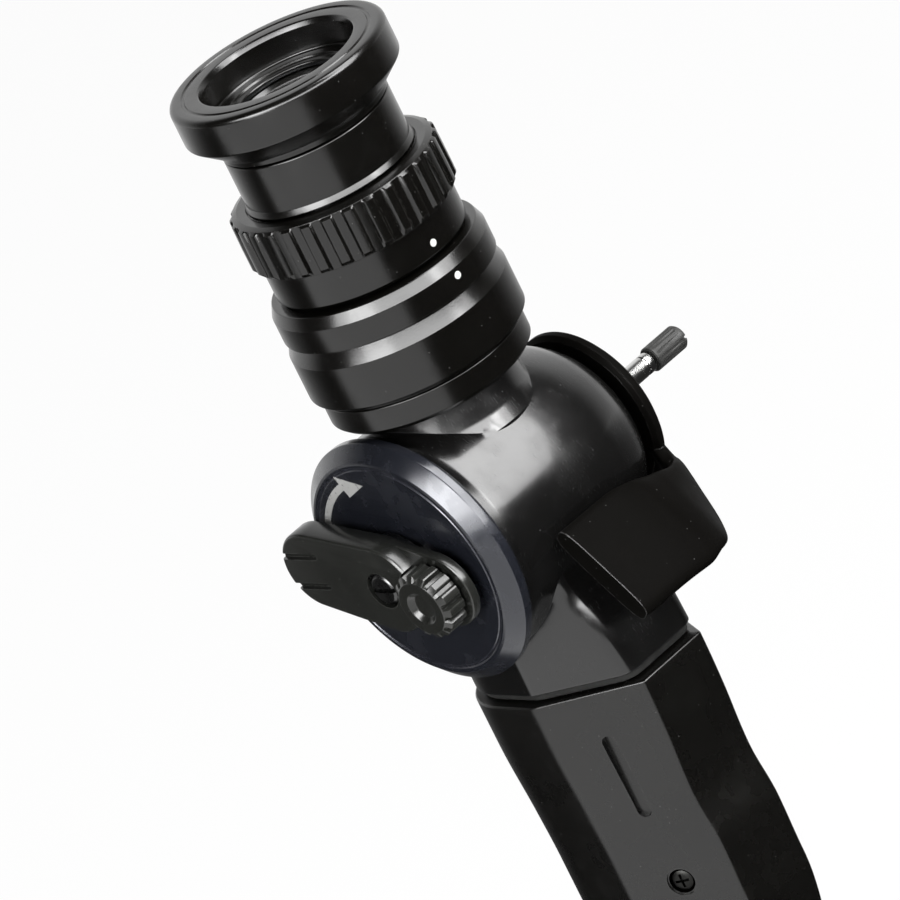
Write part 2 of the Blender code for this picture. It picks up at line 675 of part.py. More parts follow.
def make_chassis():
    """Cheeks that carry both axles, with a foot that guides the wires."""
    foot_top = NECK_BOTTOM + FIT + CHASSIS_FLANGE
    inset = NECK_WALL + FIT
    outline = neck_outline(*NECK_FOOT_SECTION, inset, NECK_WIDTH)
    foot = [at_height(outline, NECK_BOTTOM + FIT), at_height(outline, foot_top)]
    chassis = lofted("chassis", foot, ALUMINIUM)
    for side in (-1, 1):
        near = side * CHEEK_X
        far = side * (CHEEK_X + CHEEK_THICKNESS)
        low = (min(near, far), -CHEEK_FRONT, foot_top - MM)
        high = (max(near, far), CHEEK_BACK, CHEEK_TOP)
        join(chassis, box(f"cheek_{side}", low, high))
    web_reach = CHEEK_X + CHEEK_THICKNESS / 2
    web_low = (-web_reach, -CHEEK_FRONT + FIT, foot_top - MM / 2)
    web_high = (web_reach, -CHEEK_FRONT + CHEEK_THICKNESS, NECK_WAIST_Z)
    join(chassis, box("web", web_low, web_high))
    low, high = NECK_BOTTOM - MM, foot_top + MM
    for x in (-PULLEY_X, PULLEY_X):
        for y in (-WIRE_OFFSET, WIRE_OFFSET):
            hole = turned("wire_hole", rod(GUIDE_HOLE, high, low), None, 8, "Z", (x, y, 0))
            cut(chassis, hole)
    middle = rod(IMAGE_GUIDE_RADIUS + FIT, high, low)
    cut(chassis, turned("image_guide_hole", middle, None, TINY_STEPS))
    bundle_hole = rod(BUNDLE_RADIUS + 3 * FIT, high, low)
    cut(chassis, turned("bundle_hole", bundle_hole, None, TINY_STEPS, "Z", (0, BUNDLE_Y, 0)))


def make_drive(prefix, side, shaft_end, axle_end, bush_inner, bush_outer):
    """Axle, hollow shaft, pulley and bush of one angulation drive; side is +1 or -1."""
    start = CHEEK_X + CHEEK_THICKNESS + FIT

    def span(near, far):
        return (far, near) if side > 0 else (-near, -far)

    axle = rod(AXLE_RADIUS, *span(start, axle_end))
    turned(f"{prefix}_axle", axle, STEEL, TINY_STEPS, "X")
    shaft = tube(SHAFT_RADIUS, AXLE_RADIUS + FIT, *span(start, shaft_end))
    turned(f"{prefix}_shaft", shaft, STEEL, TINY_STEPS + 4, "X")
    high, low = span(PULLEY_X - PULLEY_WIDTH / 2, PULLEY_X + PULLEY_WIDTH / 2)
    lip = PULLEY_WIDTH / 5
    profile = [
        (PULLEY_RADIUS, high),
        (PULLEY_RADIUS, high - lip),
        (PULLEY_RADIUS - PULLEY_GROOVE, high - 2 * lip),
        (PULLEY_RADIUS - PULLEY_GROOVE, low + 2 * lip),
        (PULLEY_RADIUS, low + lip),
        (PULLEY_RADIUS, low),
        (SHAFT_RADIUS + FIT, low),
        (SHAFT_RADIUS + FIT, high),
    ]
    turned(f"{prefix}_pulley", profile, BRASS, SMALL_STEPS, "X")
    bush = tube(BUSH_RADIUS, SHAFT_RADIUS + FIT, *span(bush_inner, bush_outer))
    turned(f"{prefix}_bush", bush, BRASS, SMALL_STEPS, "X")


def make_wires():
    """Four angulation wires, each with the crimped sleeve that joins it to its cable."""
    bottom = WIRE_SLEEVE_TOP - WIRE_SLEEVE_LENGTH
    taper = WIRE_SLEEVE_RADIUS - WIRE_RADIUS
    profile = [
        (0, 0),
        (WIRE_RADIUS, 0),
        (WIRE_RADIUS, WIRE_SLEEVE_TOP),
        (WIRE_SLEEVE_RADIUS, WIRE_SLEEVE_TOP - taper),
        (WIRE_SLEEVE_RADIUS, bottom + taper),
        (WIRE_RADIUS, bottom),
        (WIRE_RADIUS, WIRE_BOTTOM),
        (0, WIRE_BOTTOM),
    ]
    names = {
        "wire_up": (PULLEY_X, -WIRE_OFFSET),
        "wire_down": (PULLEY_X, WIRE_OFFSET),
        "wire_left": (-PULLEY_X, -WIRE_OFFSET),
        "wire_right": (-PULLEY_X, WIRE_OFFSET),
    }
    for name, (x, y) in names.items():
        turned(name, profile, STEEL, 8, "Z", (x, y, 0))


# Left side

WASHER_FACE = DISC_FACE_X - FIT
WING_BACK = WASHER_FACE - WASHER_THICKNESS - FIT
WING_FACE = WING_BACK - WING_THICKNESS
ARM_FACE = WING_BACK - WING_ARM_THICKNESS
SHAFT_SEAT = WING_BACK - WING_BORE_DEPTH
SCREW_SEAT = SHAFT_SEAT - WING_SHOULDER


def make_side_disc():
    """Bevelled cover disc, and the friction washer between it and the wing."""
    back = DRUM_LEFT - FIT
    bore = BUSH_RADIUS + FIT
    profile = [
        (DISC_RADIUS - EDGE, back),
        (DISC_RADIUS, back - EDGE),
        (DISC_RADIUS, DISC_RIM_X),
        (DISC_FACE_RADIUS, DISC_FACE_X),
        (bore, DISC_FACE_X),
        (bore, back),
    ]
    turned("side_disc", profile, BLUE_BLACK, BIG_STEPS + 8, "X")
    washer = tube(WASHER_RADIUS, SHAFT_RADIUS + FIT, WASHER_FACE, WASHER_FACE - WASHER_THICKNESS)
    turned("friction_washer", washer, BRASS, SMALL_STEPS, "X")


def make_wing():
    """Lobed wing that turns the left drive, and the screw that holds it."""
    arm = wrapped(((0.0, 0.0, WING_HUB_RADIUS - FIT), (LOCK_Y, LOCK_Z, LOCK_END_RADIUS)))
    wing = plate("wing_knob", arm, ARM_FACE, WING_BACK, BLACK_PLASTIC, FACING_X)
    body = wrapped(((0.0, 0.0, WING_HUB_RADIUS), (LOBE_Y, LOBE_Z, LOBE_RADIUS)))
    join(wing, plate("wing_body", body, WING_FACE, WING_BACK - FIT / 3, None, FACING_X))
    for share in (-1, 1):
        z = LOBE_Z + share * LOBE_RADIUS * 0.4
        half = LOBE_GROOVE_WIDTH / 2
        low = (WING_FACE - MM, LOBE_Y - LOBE_RADIUS / 3, z - half)
        high = (WING_FACE + LOBE_GROOVE_DEPTH, LOBE_Y + 2 * LOBE_RADIUS, z + half)
        cut(wing, box(f"lobe_groove_{share}", low, high))
    bore = rod(SHAFT_RADIUS + FIT, WING_BACK + MM, SHAFT_SEAT)
    cut(wing, turned("wing_bore", bore, None, 16, "X"))
    shank_hole = rod(AXLE_RADIUS + FIT, WING_BACK + MM, WING_FACE - MM)
    cut(wing, turned("shank_hole", shank_hole, None, TINY_STEPS, "X"))
    scallop = rod(LOCK_RADIUS + EDGE, ARM_FACE, WING_FACE - MM)
    cut(wing, turned("lock_scallop", scallop, None, SMALL_STEPS, "X", (0, LOCK_Y, LOCK_Z)))
    recess = rod(SCREW_HEAD_RADIUS + FIT, SCREW_SEAT, WING_FACE - MM)
    cut(wing, turned("screw_recess", recess, None, 16, "X"))
    spindle_hole = rod(LOCK_SPINDLE_RADIUS + FIT, WING_BACK + MM, WING_FACE)
    cut(wing, turned("spindle_hole", spindle_hole, None, TINY_STEPS, "X", (0, LOCK_Y, LOCK_Z)))
    head_top = SCREW_SEAT - FIT
    shank = AXLE_RADIUS
    screw = [
        (0, DISC_FACE_X),
        (shank, DISC_FACE_X),
        (shank, head_top),
        (SCREW_HEAD_RADIUS, head_top),
        (SCREW_HEAD_RADIUS, WING_FACE + EDGE / 2),
        (SCREW_HEAD_RADIUS - EDGE, WING_FACE),
        (0, WING_FACE),
    ]
    head = turned("wing_screw", screw, STEEL, 16, "X")
    half = LOBE_GROOVE_WIDTH / 2
    low = (WING_FACE - MM, -SCREW_HEAD_RADIUS - MM, -half)
    high = (WING_FACE + LOBE_GROOVE_DEPTH, SCREW_HEAD_RADIUS + MM, half)
    cut(head, box("screw_slot", low, high))


def make_lock_knob():
    """Ribbed brake knob, whose spindle presses on the disc."""
    back = ARM_FACE - FIT
    face = back - LOCK_HEIGHT
    profile = [
        (0, WASHER_FACE),
        (LOCK_SPINDLE_RADIUS, WASHER_FACE),
        (LOCK_SPINDLE_RADIUS, back),
        (LOCK_RADIUS, back),
        (LOCK_RADIUS, face + EDGE),
        (LOCK_RADIUS - EDGE, face),
        (LOCK_RADIUS * 0.55, face),
        (LOCK_RADIUS * 0.45, face + EDGE),
        (0, face + EDGE),
    ]
    knob = turned("lock_knob", profile, BLACK_PLASTIC, LOCK_RIBS * 2, "X", (0, LOCK_Y, LOCK_Z))
    mesh = bpy.data.meshes.new("lock_ribs")
    ribs = bmesh.new()
    size = Matrix.Diagonal((LOCK_HEIGHT - 2 * EDGE, EDGE * 1.2, 2 * EDGE, 1))
    for index in range(LOCK_RIBS):
        turn = Matrix.Rotation(2 * math.pi * (index + 0.5) / LOCK_RIBS, 4, "X")
        place = Matrix.Translation(((back + face) / 2, 0, LOCK_RADIUS - EDGE / 2))
        bmesh.ops.create_cube(ribs, size=1.0, matrix=turn @ place @ size)
    ribs.to_mesh(mesh)
    ribs.free()
    join(knob, add("lock_ribs", mesh, None, (0, LOCK_Y, LOCK_Z)))


# Right side

LEVER_HUB_END = LEVER_HUB_X + LEVER_HUB_THICKNESS
HUB_CAP_X = LEVER_HUB_END + FIT
VENT_X = HUB_CAP_X + HUB_CAP_THICKNESS + FIT
VENT_CAP_X = VENT_X + VENT_STEM_LENGTH + FIT


def bar_section(centre, half_width, half_thickness, count=12):
    """Rounded oblong loop about a centre."""
    centre, across, through = Vector(centre), Vector(half_width), Vector(half_thickness)
    loop = []
    for index in range(count):
        angle = 2 * math.pi * (index + 0.5) / count
        c, s = math.cos(angle), math.sin(angle)
        wide = math.copysign(abs(c) ** 0.45, c)
        deep = math.copysign(abs(s) ** 0.6, s)
        loop.append(centre + across * wide + through * deep)
    return loop


def lever_loops():
    """Sections of the thumb lever, from its hub round the drum's end to the paddle's far edge."""
    down = Vector((0, 0, -1))
    side = Vector((1, 0, 0))
    slope = Vector((0, -math.cos(PADDLE_SLOPE), -math.sin(PADDLE_SLOPE)))
    outward = Vector((0, -math.sin(PADDLE_SLOPE), math.cos(PADDLE_SLOPE)))
    middle = LEVER_HUB_X + LEVER_HUB_THICKNESS / 2
    loops = []
    for inset, reach, rise, length, lean, turn, thickness in LEVER_SECTIONS:
        along = down.lerp(slope, lean).normalized() * PADDLE_HALF_LENGTH * length
        across = side.lerp(outward, turn).normalized() * thickness
        loops.append(bar_section((middle - inset, reach * PADDLE_Y, PADDLE_Z + rise), along, across))
    end = (PADDLE_LEFT, PADDLE_Y, PADDLE_Z)
    loops.append(bar_section(end, slope * PADDLE_HALF_LENGTH, outward * PADDLE_HALF_THICKNESS))
    return loops


def make_lever():
    """Thumb lever: a hub on the drum's end, with an arm that curls round to a wide paddle."""
    lever = lofted("thumb_lever", lever_loops(), BLACK_PLASTIC)
    hub = [
        (0, LEVER_HUB_END),
        (LEVER_HUB_RADIUS - 2 * EDGE, LEVER_HUB_END),
        (LEVER_HUB_RADIUS, LEVER_HUB_END - 1.5 * EDGE),
        (LEVER_HUB_RADIUS, LEVER_HUB_X + EDGE),
        (LEVER_HUB_RADIUS - EDGE, LEVER_HUB_X),
        (0, LEVER_HUB_X),
    ]
    join(lever, turned("lever_hub", hub, None, BIG_STEPS - 4, "X"))
    bore = rod(SHAFT_RADIUS + FIT, LEVER_HUB_END + MM, LEVER_HUB_X - MM)
    cut(lever, turned("lever_bore", bore, None, 16, "X"))


def make_vent():
    """Cap on the lever's hub, the vent stem on the drum axis and the stem's turning cap."""
    cap_end = HUB_CAP_X + HUB_CAP_THICKNESS
    turned("hub_cap", rod(HUB_CAP_RADIUS, cap_end, HUB_CAP_X, EDGE / 2), GLOSS_BLACK, SMALL_STEPS, "X")
    stem_end = VENT_X + VENT_STEM_LENGTH
    stem = [
        (0, stem_end),
        (VENT_STEM_RADIUS, stem_end),
        (VENT_STEM_RADIUS, VENT_X + EDGE),
        (VENT_BASE_RADIUS, VENT_X + EDGE),
        (VENT_BASE_RADIUS, VENT_X),
        (0, VENT_X),
    ]
    turned("vent_stem", stem, STEEL, TINY_STEPS + 4, "X")
    cap = rod(VENT_CAP_RADIUS, VENT_CAP_X + VENT_CAP_LENGTH, VENT_CAP_X, EDGE / 2)
    knob = turned("vent_cap", cap, BLACK_PLASTIC, TINY_STEPS + 4, "X")
    low = (VENT_CAP_X + VENT_CAP_LENGTH - EDGE, -VENT_CAP_RADIUS - MM, -EDGE / 2)
    high = (VENT_CAP_X + VENT_CAP_LENGTH + MM, VENT_CAP_RADIUS + MM, EDGE / 2)
    cut(knob, box("vent_cap_slot", low, high))


# Grip

SEAL_TOP = NECK_BOTTOM - FIT
GRIP_TOP = SEAL_TOP - SEAL_HEIGHT - FIT


def grip_section(inset, front, half_width):
    """Outline of the grip before it rounds off towards the foot."""
    return neck_outline(front, GRIP_FRONT_HALF_WIDTH, GRIP_SIDE_FRONT, inset, half_width)


def grip_loops(inset):
    """Sections of the grip, which swells at its middle and rounds to a circle at its foot."""
    _, front, half_width, _, _ = GRIP_SECTIONS[0]
    radius = GRIP_END_RADIUS - inset
    if inset:
        loops = [at_height(grip_section(inset, front, half_width), GRIP_TOP - inset)]
        shaped = GRIP_SECTIONS[1:]
    else:
        loops = [at_height(grip_section(inset, front - EDGE, half_width - EDGE), GRIP_TOP)]
        shaped = GRIP_SECTIONS
    for drop, front, half_width, roundness, share in shaped:
        section = grip_section(inset, front, half_width)
        loops.append(round_loop(section, radius * share, GRIP_TOP - drop, roundness))
    past = MM if inset else 0.0
    loops.append(round_loop(section, radius, GRIP_BOTTOM - past, 1.0))
    return loops


def grip_size_at(z):
    """Depth to the front and half width of the grip at a height."""
    drops = [drop for drop, *_ in GRIP_SECTIONS]
    fronts = [front for _, front, *_ in GRIP_SECTIONS]
    widths = [half_width for _, _, half_width, *_ in GRIP_SECTIONS]
    drop = GRIP_TOP - z
    for index in range(1, len(drops)):
        if drop <= drops[index]:
            break
    share = (drop - drops[index - 1]) / (drops[index] - drops[index - 1])
    front = fronts[index - 1] + (fronts[index] - fronts[index - 1]) * share
    return front, widths[index - 1] + (widths[index] - widths[index - 1]) * share


def facet_basis(side, z):
    """Axes on the middle of a canted facet: width across it, length up it, and outward."""
    depth, half_width = grip_size_at(z)
    front = Vector((side * GRIP_FRONT_HALF_WIDTH, -depth, 0))
    flank = Vector((side * half_width, -GRIP_SIDE_FRONT, 0))
    across = (flank - front).normalized() * side
    up = Vector((0, 0, 1))
    outward = across.cross(up)
    middle = (front + flank) / 2 + up * z
    rows = [(across[i], up[i], outward[i], middle[i]) for i in range(3)]
    return Matrix((*rows, (0, 0, 0, 1)))


def make_grip():
    """Hand grip: a shell with a groove and a cover screw on each canted facet."""
    grip = lofted("grip_cover", grip_loops(0.0), BLACK_PLASTIC)
    cut(grip, lofted("grip_cavity", grip_loops(GRIP_WALL)))
    bore = neck_outline(*NECK_FOOT_SECTION, NECK_WALL + FIT, NECK_WIDTH)
    mouth = [at_height(bore, GRIP_TOP - GRIP_WALL - MM), at_height(bore, GRIP_TOP + MM)]
    cut(grip, lofted("grip_mouth", mouth))
    reach = GROOVE_LENGTH / 2 - GROOVE_WIDTH / 2
    groove = wrapped(((0.0, reach, GROOVE_WIDTH / 2, 12), (0.0, -reach, GROOVE_WIDTH / 2, 12)))
    head = circle_points(0.0, 0.0, GRIP_SCREW_RADIUS, TINY_STEPS)
    hole = circle_points(0.0, 0.0, GRIP_SCREW_RADIUS + FIT, TINY_STEPS)
    for side, name in ((-1, "left"), (1, "right")):
        place = facet_basis(side, GROOVE_Z)
        cut(grip, plate(f"{name}_groove", groove, -GROOVE_DEPTH, MM, None, place))
        place = facet_basis(side, GRIP_SCREW_Z)
        cut(grip, plate(f"{name}_screw_hole", hole, -3 * GRIP_WALL, 2 * MM, None, place))
        plate(f"grip_screw_{name}", head, -GRIP_WALL, -FIT, STEEL, place)
    outer = neck_outline(*NECK_FOOT_SECTION, 0.0, NECK_WIDTH)
    seal = [at_height(outer, SEAL_TOP - SEAL_HEIGHT), at_height(outer, SEAL_TOP)]
    ring = lofted("grip_seal", seal, BLACK_RUBBER)
    past = [at_height(bore, SEAL_TOP - SEAL_HEIGHT - MM), at_height(bore, SEAL_TOP + MM)]
    cut(ring, lofted("seal_bore", past))


def make_foot():
    """End ring of the grip and the gland that the insertion tube leaves by."""
    top = GRIP_BOTTOM - FIT
    bottom = top - END_RING_HEIGHT
    profile = [
        (GRIP_END_RADIUS, top),
        (GRIP_END_RADIUS, bottom + EDGE),
        (GRIP_END_RADIUS - EDGE, bottom),
        (END_RING_BORE, bottom),
        (END_RING_BORE, top),
    ]
    turned("grip_end_ring", profile, ALUMINIUM, BIG_STEPS - 8)
    start = bottom - FIT
    tip = start - GLAND_LENGTH
    gland = [
        (GLAND_TOP_RADIUS, start),
        (GLAND_TOP_RADIUS, start - 2 * MM),
        (GLAND_TIP_RADIUS + EDGE, tip + EDGE),
        (GLAND_TIP_RADIUS, tip),
        (GLAND_BORE, tip),
        (GLAND_BORE, start),
    ]
    turned("insertion_tube_gland", gland, BLACK_RUBBER, BIG_STEPS - 12)


BUNDLE_Y = 5.8 * MM
BUNDLE_ROUTE = (
    (0.0, 29.0),
    (0.0, 19.0),
    (-0.6, 13.0),
    (-3.2, 9.0),
    (-7.0, 6.5),
    (-11.0, 5.8),
    (-20.0, 5.6),
    (-40.0, 5.0),
    (-65.0, 4.5),
    (-88.0, 4.2),
)


def make_inlet():
    """Light guide inlet on the back of the neck, and the fibre bundle that runs down from it."""
    seat = INLET_SEAT_Y
    tip = seat + INLET_LENGTH
    profile = [
        (INLET_RADIUS - EDGE, tip),
        (INLET_RADIUS, tip - EDGE),
        (INLET_RADIUS, tip - 3 * MM),
        (INLET_RADIUS - EDGE, tip - 3.7 * MM),
        (INLET_RADIUS - EDGE, tip - 5.5 * MM),
        (INLET_RADIUS, tip - 6.2 * MM),
        (INLET_RADIUS, seat + INLET_FLANGE),
        (INLET_FLANGE_RADIUS, seat + INLET_FLANGE),
        (INLET_FLANGE_RADIUS, seat),
        (INLET_BORE, seat),
        (INLET_BORE, tip),
    ]
    turned("light_guide_inlet", profile, STEEL, BIG_STEPS - 16, "Y", (0, 0, INLET_Z))
    curve = bpy.data.curves.new("light_guide_bundle", "CURVE")
    curve.dimensions = "3D"
    curve.bevel_depth = BUNDLE_RADIUS
    curve.bevel_resolution = 1
    curve.use_fill_caps = True
    spline = curve.splines.new("POLY")
    spline.points.add(len(BUNDLE_ROUTE) - 1)
    for point, (drop, y) in zip(spline.points, BUNDLE_ROUTE):
        point.co = (0, y * MM, INLET_Z + drop * MM, 1)
    item = bpy.data.objects.new("light_guide_bundle", curve)
    curve.materials.append(FIBRE)
    PIECES.objects.link(item)


def main():
    """Build every piece, from the eyepiece down."""
    make_eyecup()
    make_eyepiece_tube()
    make_eye_lens()
    make_lens_cell()
    make_dioptre_ring()
    make_barrel()
    make_head_housing()
    make_chassis()
    make_drive("lever", 1, LEVER_HUB_END - FIT, LEVER_HUB_END, CAVITY_RIGHT, LEVER_HUB_X - 2 * FIT)
    make_drive("wing", -1, -SHAFT_SEAT - FIT, -DISC_FACE_X - 2 * FIT, -CAVITY_LEFT, -DISC_FACE_X)
    make_wires()
    make_side_disc()
    make_wing()
    make_lock_knob()
    make_lever()
    make_vent()
    make_grip()
    make_foot()
    make_inlet()
    for item in PIECES.objects:
        if item.type == "MESH":
            item.data.shade_smooth()
            item.data.set_sharp_from_angle(angle=math.radians(35))


main()
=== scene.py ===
"""Looks of the flexible endoscope's control section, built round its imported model."""

import sys
import logging
import math
from dataclasses import dataclass
from enum import Enum
from typing import Callable, Iterable, Optional, Sequence

import bmesh
import bpy
from mathutils import Matrix, Vector


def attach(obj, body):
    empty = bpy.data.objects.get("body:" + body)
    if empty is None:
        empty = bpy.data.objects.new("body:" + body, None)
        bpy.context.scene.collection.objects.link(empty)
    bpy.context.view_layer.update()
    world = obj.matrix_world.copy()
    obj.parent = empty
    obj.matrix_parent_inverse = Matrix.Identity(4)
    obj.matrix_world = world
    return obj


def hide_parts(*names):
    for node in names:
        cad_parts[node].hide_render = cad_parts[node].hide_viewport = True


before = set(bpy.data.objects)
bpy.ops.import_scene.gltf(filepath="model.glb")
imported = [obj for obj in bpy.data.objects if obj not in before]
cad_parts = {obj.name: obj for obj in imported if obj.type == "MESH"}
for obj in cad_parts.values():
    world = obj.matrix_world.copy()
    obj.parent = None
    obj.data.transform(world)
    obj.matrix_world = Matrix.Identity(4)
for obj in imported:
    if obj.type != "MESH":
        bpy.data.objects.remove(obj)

LOG = logging.getLogger("endoscope")
MM = 0.001
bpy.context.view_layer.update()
LONGEST_SHARE = 0.48  # of a side that one rounded corner may take

Colour = tuple[float, float, float]
Pair = tuple[float, float]
Triple = tuple[float, float, float]
Loop = list[Triple]
Profile = Sequence[tuple[float, ...]]


class Axis(Enum):
    """The axis that a piece is turned about."""

    X = "X"
    Y = "Y"
    Z = "Z"

    def place(self, point: Triple) -> Triple:
        """Return a point whose third number runs along this axis."""
        a, b, along = point
        return {"X": (along, a, b), "Y": (b, along, a), "Z": (a, b, along)}[self.value]


class Kind(Enum):
    """What a socket carries."""

    VALUE = "value"
    VECTOR = "vector"
    COLOUR = "colour"


class Flow:
    """A socket in a material, so that shader maths is written as Python."""

    def __init__(self, graph: "Graph", socket: bpy.types.NodeSocket, kind: Kind) -> None:
        """Wrap a socket.

        Args:
            graph: the material's graph.
            socket: the output socket.
            kind: what it carries.
        """
        self.graph = graph
        self.socket = socket
        self.kind = kind

    def _sum(self, operation: str, first: object, second: object) -> "Flow":
        """Add the node for one operation.

        Args:
            operation: ADD, SUBTRACT, MULTIPLY, DIVIDE and the like.
            first: left operand.
            second: right operand.

        Returns:
            The node's result.
        """
        if self.kind is Kind.VALUE:
            node = self.graph.node("ShaderNodeMath", {"operation": operation}, {0: first, 1: second})
            return Flow(self.graph, node.outputs[0], Kind.VALUE)
        if self.kind is Kind.VECTOR:
            scalar = [x for x in (first, second) if isinstance(x, (int, float))]
            if operation == "MULTIPLY" and scalar:
                settings = {"operation": "SCALE"}
                node = self.graph.node("ShaderNodeVectorMath", settings, {0: self, "Scale": scalar[0]})
            else:
                node = self.graph.node(
                    "ShaderNodeVectorMath", {"operation": operation}, {0: first, 1: second}
                )
            return Flow(self.graph, node.outputs[0], Kind.VECTOR)
        settings = {"data_type": "RGBA", "blend_type": operation}
        node = self.graph.node("ShaderNodeMix", settings, {0: 1.0, 6: first, 7: second})
        return Flow(self.graph, node.outputs[2], Kind.COLOUR)

    def __add__(self, other: object) -> "Flow":
        """Sum."""
        return self._sum("ADD", self, other)

    def __radd__(self, other: object) -> "Flow":
        """Sum, from the right."""
        return self._sum("ADD", other, self)

    def __sub__(self, other: object) -> "Flow":
        """Difference."""
        return self._sum("SUBTRACT", self, other)

    def __rsub__(self, other: object) -> "Flow":
        """Difference, from the right."""
        return self._sum("SUBTRACT", other, self)

    def __mul__(self, other: object) -> "Flow":
        """Product."""
        return self._sum("MULTIPLY", self, other)

    def __rmul__(self, other: object) -> "Flow":
        """Product, from the right."""
        return self._sum("MULTIPLY", other, self)

    def __truediv__(self, other: object) -> "Flow":
        """Quotient."""
        return self._sum("DIVIDE", self, other)

    def __pow__(self, other: object) -> "Flow":
        """Power."""
        return self._sum("POWER", self, other)

    def sine(self) -> "Flow":
        """Sine of a value in radians."""
        return self._sum("SINE", self, 0.0)

    def largest(self, *others: "Flow") -> "Flow":
        """Largest of this value and others.

        Args:
            others: the other values.

        Returns:
            The largest.
        """
        most = self
        for other in others:
            most = self._sum("MAXIMUM", most, other)
        return most

    def above(self, limit: float, width: float) -> "Flow":
        """Mask that rises from 0 to 1 round a limit.

        Args:
            limit: where the mask is a half.
            width: how far the rise takes.

        Returns:
            The mask.
        """
        sockets = {0: self, 1: limit - width / 2, 2: limit + width / 2, 3: 0.0, 4: 1.0}
        node = self.graph.node("ShaderNodeMapRange", {"interpolation_type": "SMOOTHSTEP"}, sockets)
        return Flow(self.graph, node.outputs[0], Kind.VALUE)


class Graph:
    """The node graph of one material."""

    def __init__(self, name: str, world: Optional[bpy.types.World] = None) -> None:
        """Start an empty material, or empty a world.

        Args:
            name: the material's name.
            world: the world to empty, if the graph is for one.
        """
        self.material = bpy.data.materials.new(name) if world is None else None
        owner = world or self.material
        owner.use_nodes = True
        self.tree = owner.node_tree
        self.tree.nodes.clear()

    def node(
        self,
        kind: str,
        settings: Optional[dict[str, object]] = None,
        sockets: Optional[dict[object, object]] = None,
    ) -> bpy.types.Node:
        """Make any node.

        Args:
            kind: the node's type.
            settings: its properties.
            sockets: values or flows for its inputs, by name or index.

        Returns:
            The node.
        """
        made = self.tree.nodes.new(kind)
        for key, value in (settings or {}).items():
            setattr(made, key, value)
        for key, value in (sockets or {}).items():
            target = made.inputs[key]
            if isinstance(value, Flow):
                self.tree.links.new(value.socket, target)
            elif isinstance(value, bpy.types.NodeSocket):
                self.tree.links.new(value, target)
            elif isinstance(value, tuple) and len(value) == 3 and target.type == "RGBA":
                target.default_value = (*value, 1.0)
            else:
                target.default_value = value
        return made

    def value(self, node: bpy.types.Node, output: object = 0) -> Flow:
        """A node's output as a value."""
        return Flow(self, node.outputs[output], Kind.VALUE)

    def glow(self, strength: float, kind: str = "ShaderNodeEmission") -> bpy.types.NodeSocket:
        """White light of one strength."""
        return self.node(kind, None, {"Color": (1.0, 1.0, 1.0), "Strength": strength}).outputs[0]

    def over(
        self, mask: Flow, under: bpy.types.NodeSocket, upper: bpy.types.NodeSocket
    ) -> bpy.types.NodeSocket:
        """Lay one shader over another by a mask."""
        return self.node("ShaderNodeMixShader", None, {0: mask, 1: under, 2: upper}).outputs[0]

    def place(self, stretch: Triple = (1.0, 1.0, 1.0)) -> Flow:
        """Position on the piece.

        Args:
            stretch: how much it is stretched along each axis.

        Returns:
            The position in metres.
        """
        coordinates = self.node("ShaderNodeTexCoord")
        settings = {"operation": "MULTIPLY"}
        node = self.node(
            "ShaderNodeVectorMath", settings, {0: coordinates.outputs["Object"], 1: stretch}
        )
        return Flow(self, node.outputs[0], Kind.VECTOR)

    def parts(self, vector: Flow) -> tuple[Flow, Flow, Flow]:
        """Split a vector.

        Args:
            vector: the vector.

        Returns:
            Its three values.
        """
        node = self.node("ShaderNodeSeparateXYZ", None, {0: vector})
        x, y, z = (Flow(self, output, Kind.VALUE) for output in node.outputs)
        return x, y, z

    def join(self, x: object, y: object, z: object) -> Flow:
        """Make a vector of three values."""
        node = self.node("ShaderNodeCombineXYZ", None, {0: x, 1: y, 2: z})
        return Flow(self, node.outputs[0], Kind.VECTOR)

    def round_axis(self, axis: Axis, centre: Pair = (0.0, 0.0)) -> tuple[Flow, Flow, Flow]:
        """Position as turned pieces have it.

        Args:
            axis: the piece's axis.
            centre: where the axis crosses the plane square to it.

        Returns:
            The angle in radians, the radius and the distance along the axis.
        """
        x, y, z = self.parts(self.place())
        across, up, along = {Axis.X: (y, z, x), Axis.Y: (z, x, y), Axis.Z: (x, y, z)}[axis]
        across = across - centre[0]
        up = up - centre[1]
        angle = self.node("ShaderNodeMath", {"operation": "ARCTAN2"}, {0: up, 1: across})
        radius = (across * across + up * up) ** 0.5
        return self.value(angle), radius, along

    def noise(self, size: float, detail: float = 3.0, stretch: Triple = (1.0, 1.0, 1.0)) -> Flow:
        """Soft noise.

        Args:
            size: size of its patches in metres.
            detail: octaves.
            stretch: how much finer it is along each axis.

        Returns:
            A value round 0.5.
        """
        sockets = {"Vector": self.place(stretch), "Scale": 1.0 / size, "Detail": detail}
        node = self.node("ShaderNodeTexNoise", {"noise_dimensions": "3D"}, sockets)
        return self.value(node)

    def rings(self, axis: Axis, centre: Pair, pitch: float, detail: float) -> Flow:
        """Fine rings that a lathe leaves.

        Args:
            axis: the piece's axis.
            centre: where the axis crosses the plane square to it.
            pitch: distance between rings in metres.
            detail: octaves.

        Returns:
            A value round 0.5.
        """
        _, radius, along = self.round_axis(axis, centre)
        sockets = {"Vector": self.join(radius, along, 0.0), "Scale": 1.0 / pitch, "Detail": detail}
        return self.value(self.node("ShaderNodeTexNoise", {"noise_dimensions": "2D"}, sockets))

    def specks(self, size: float, share: float) -> Flow:
        """Mask of scattered round specks.

        Args:
            size: distance between specks in metres.
            share: how much of its cell a speck fills.

        Returns:
            The mask.
        """
        sockets = {"Vector": self.place(), "Scale": 1.0 / size}
        node = self.node("ShaderNodeTexVoronoi", {"feature": "F1"}, sockets)
        return 1.0 - self.value(node, "Distance").above(share, share)

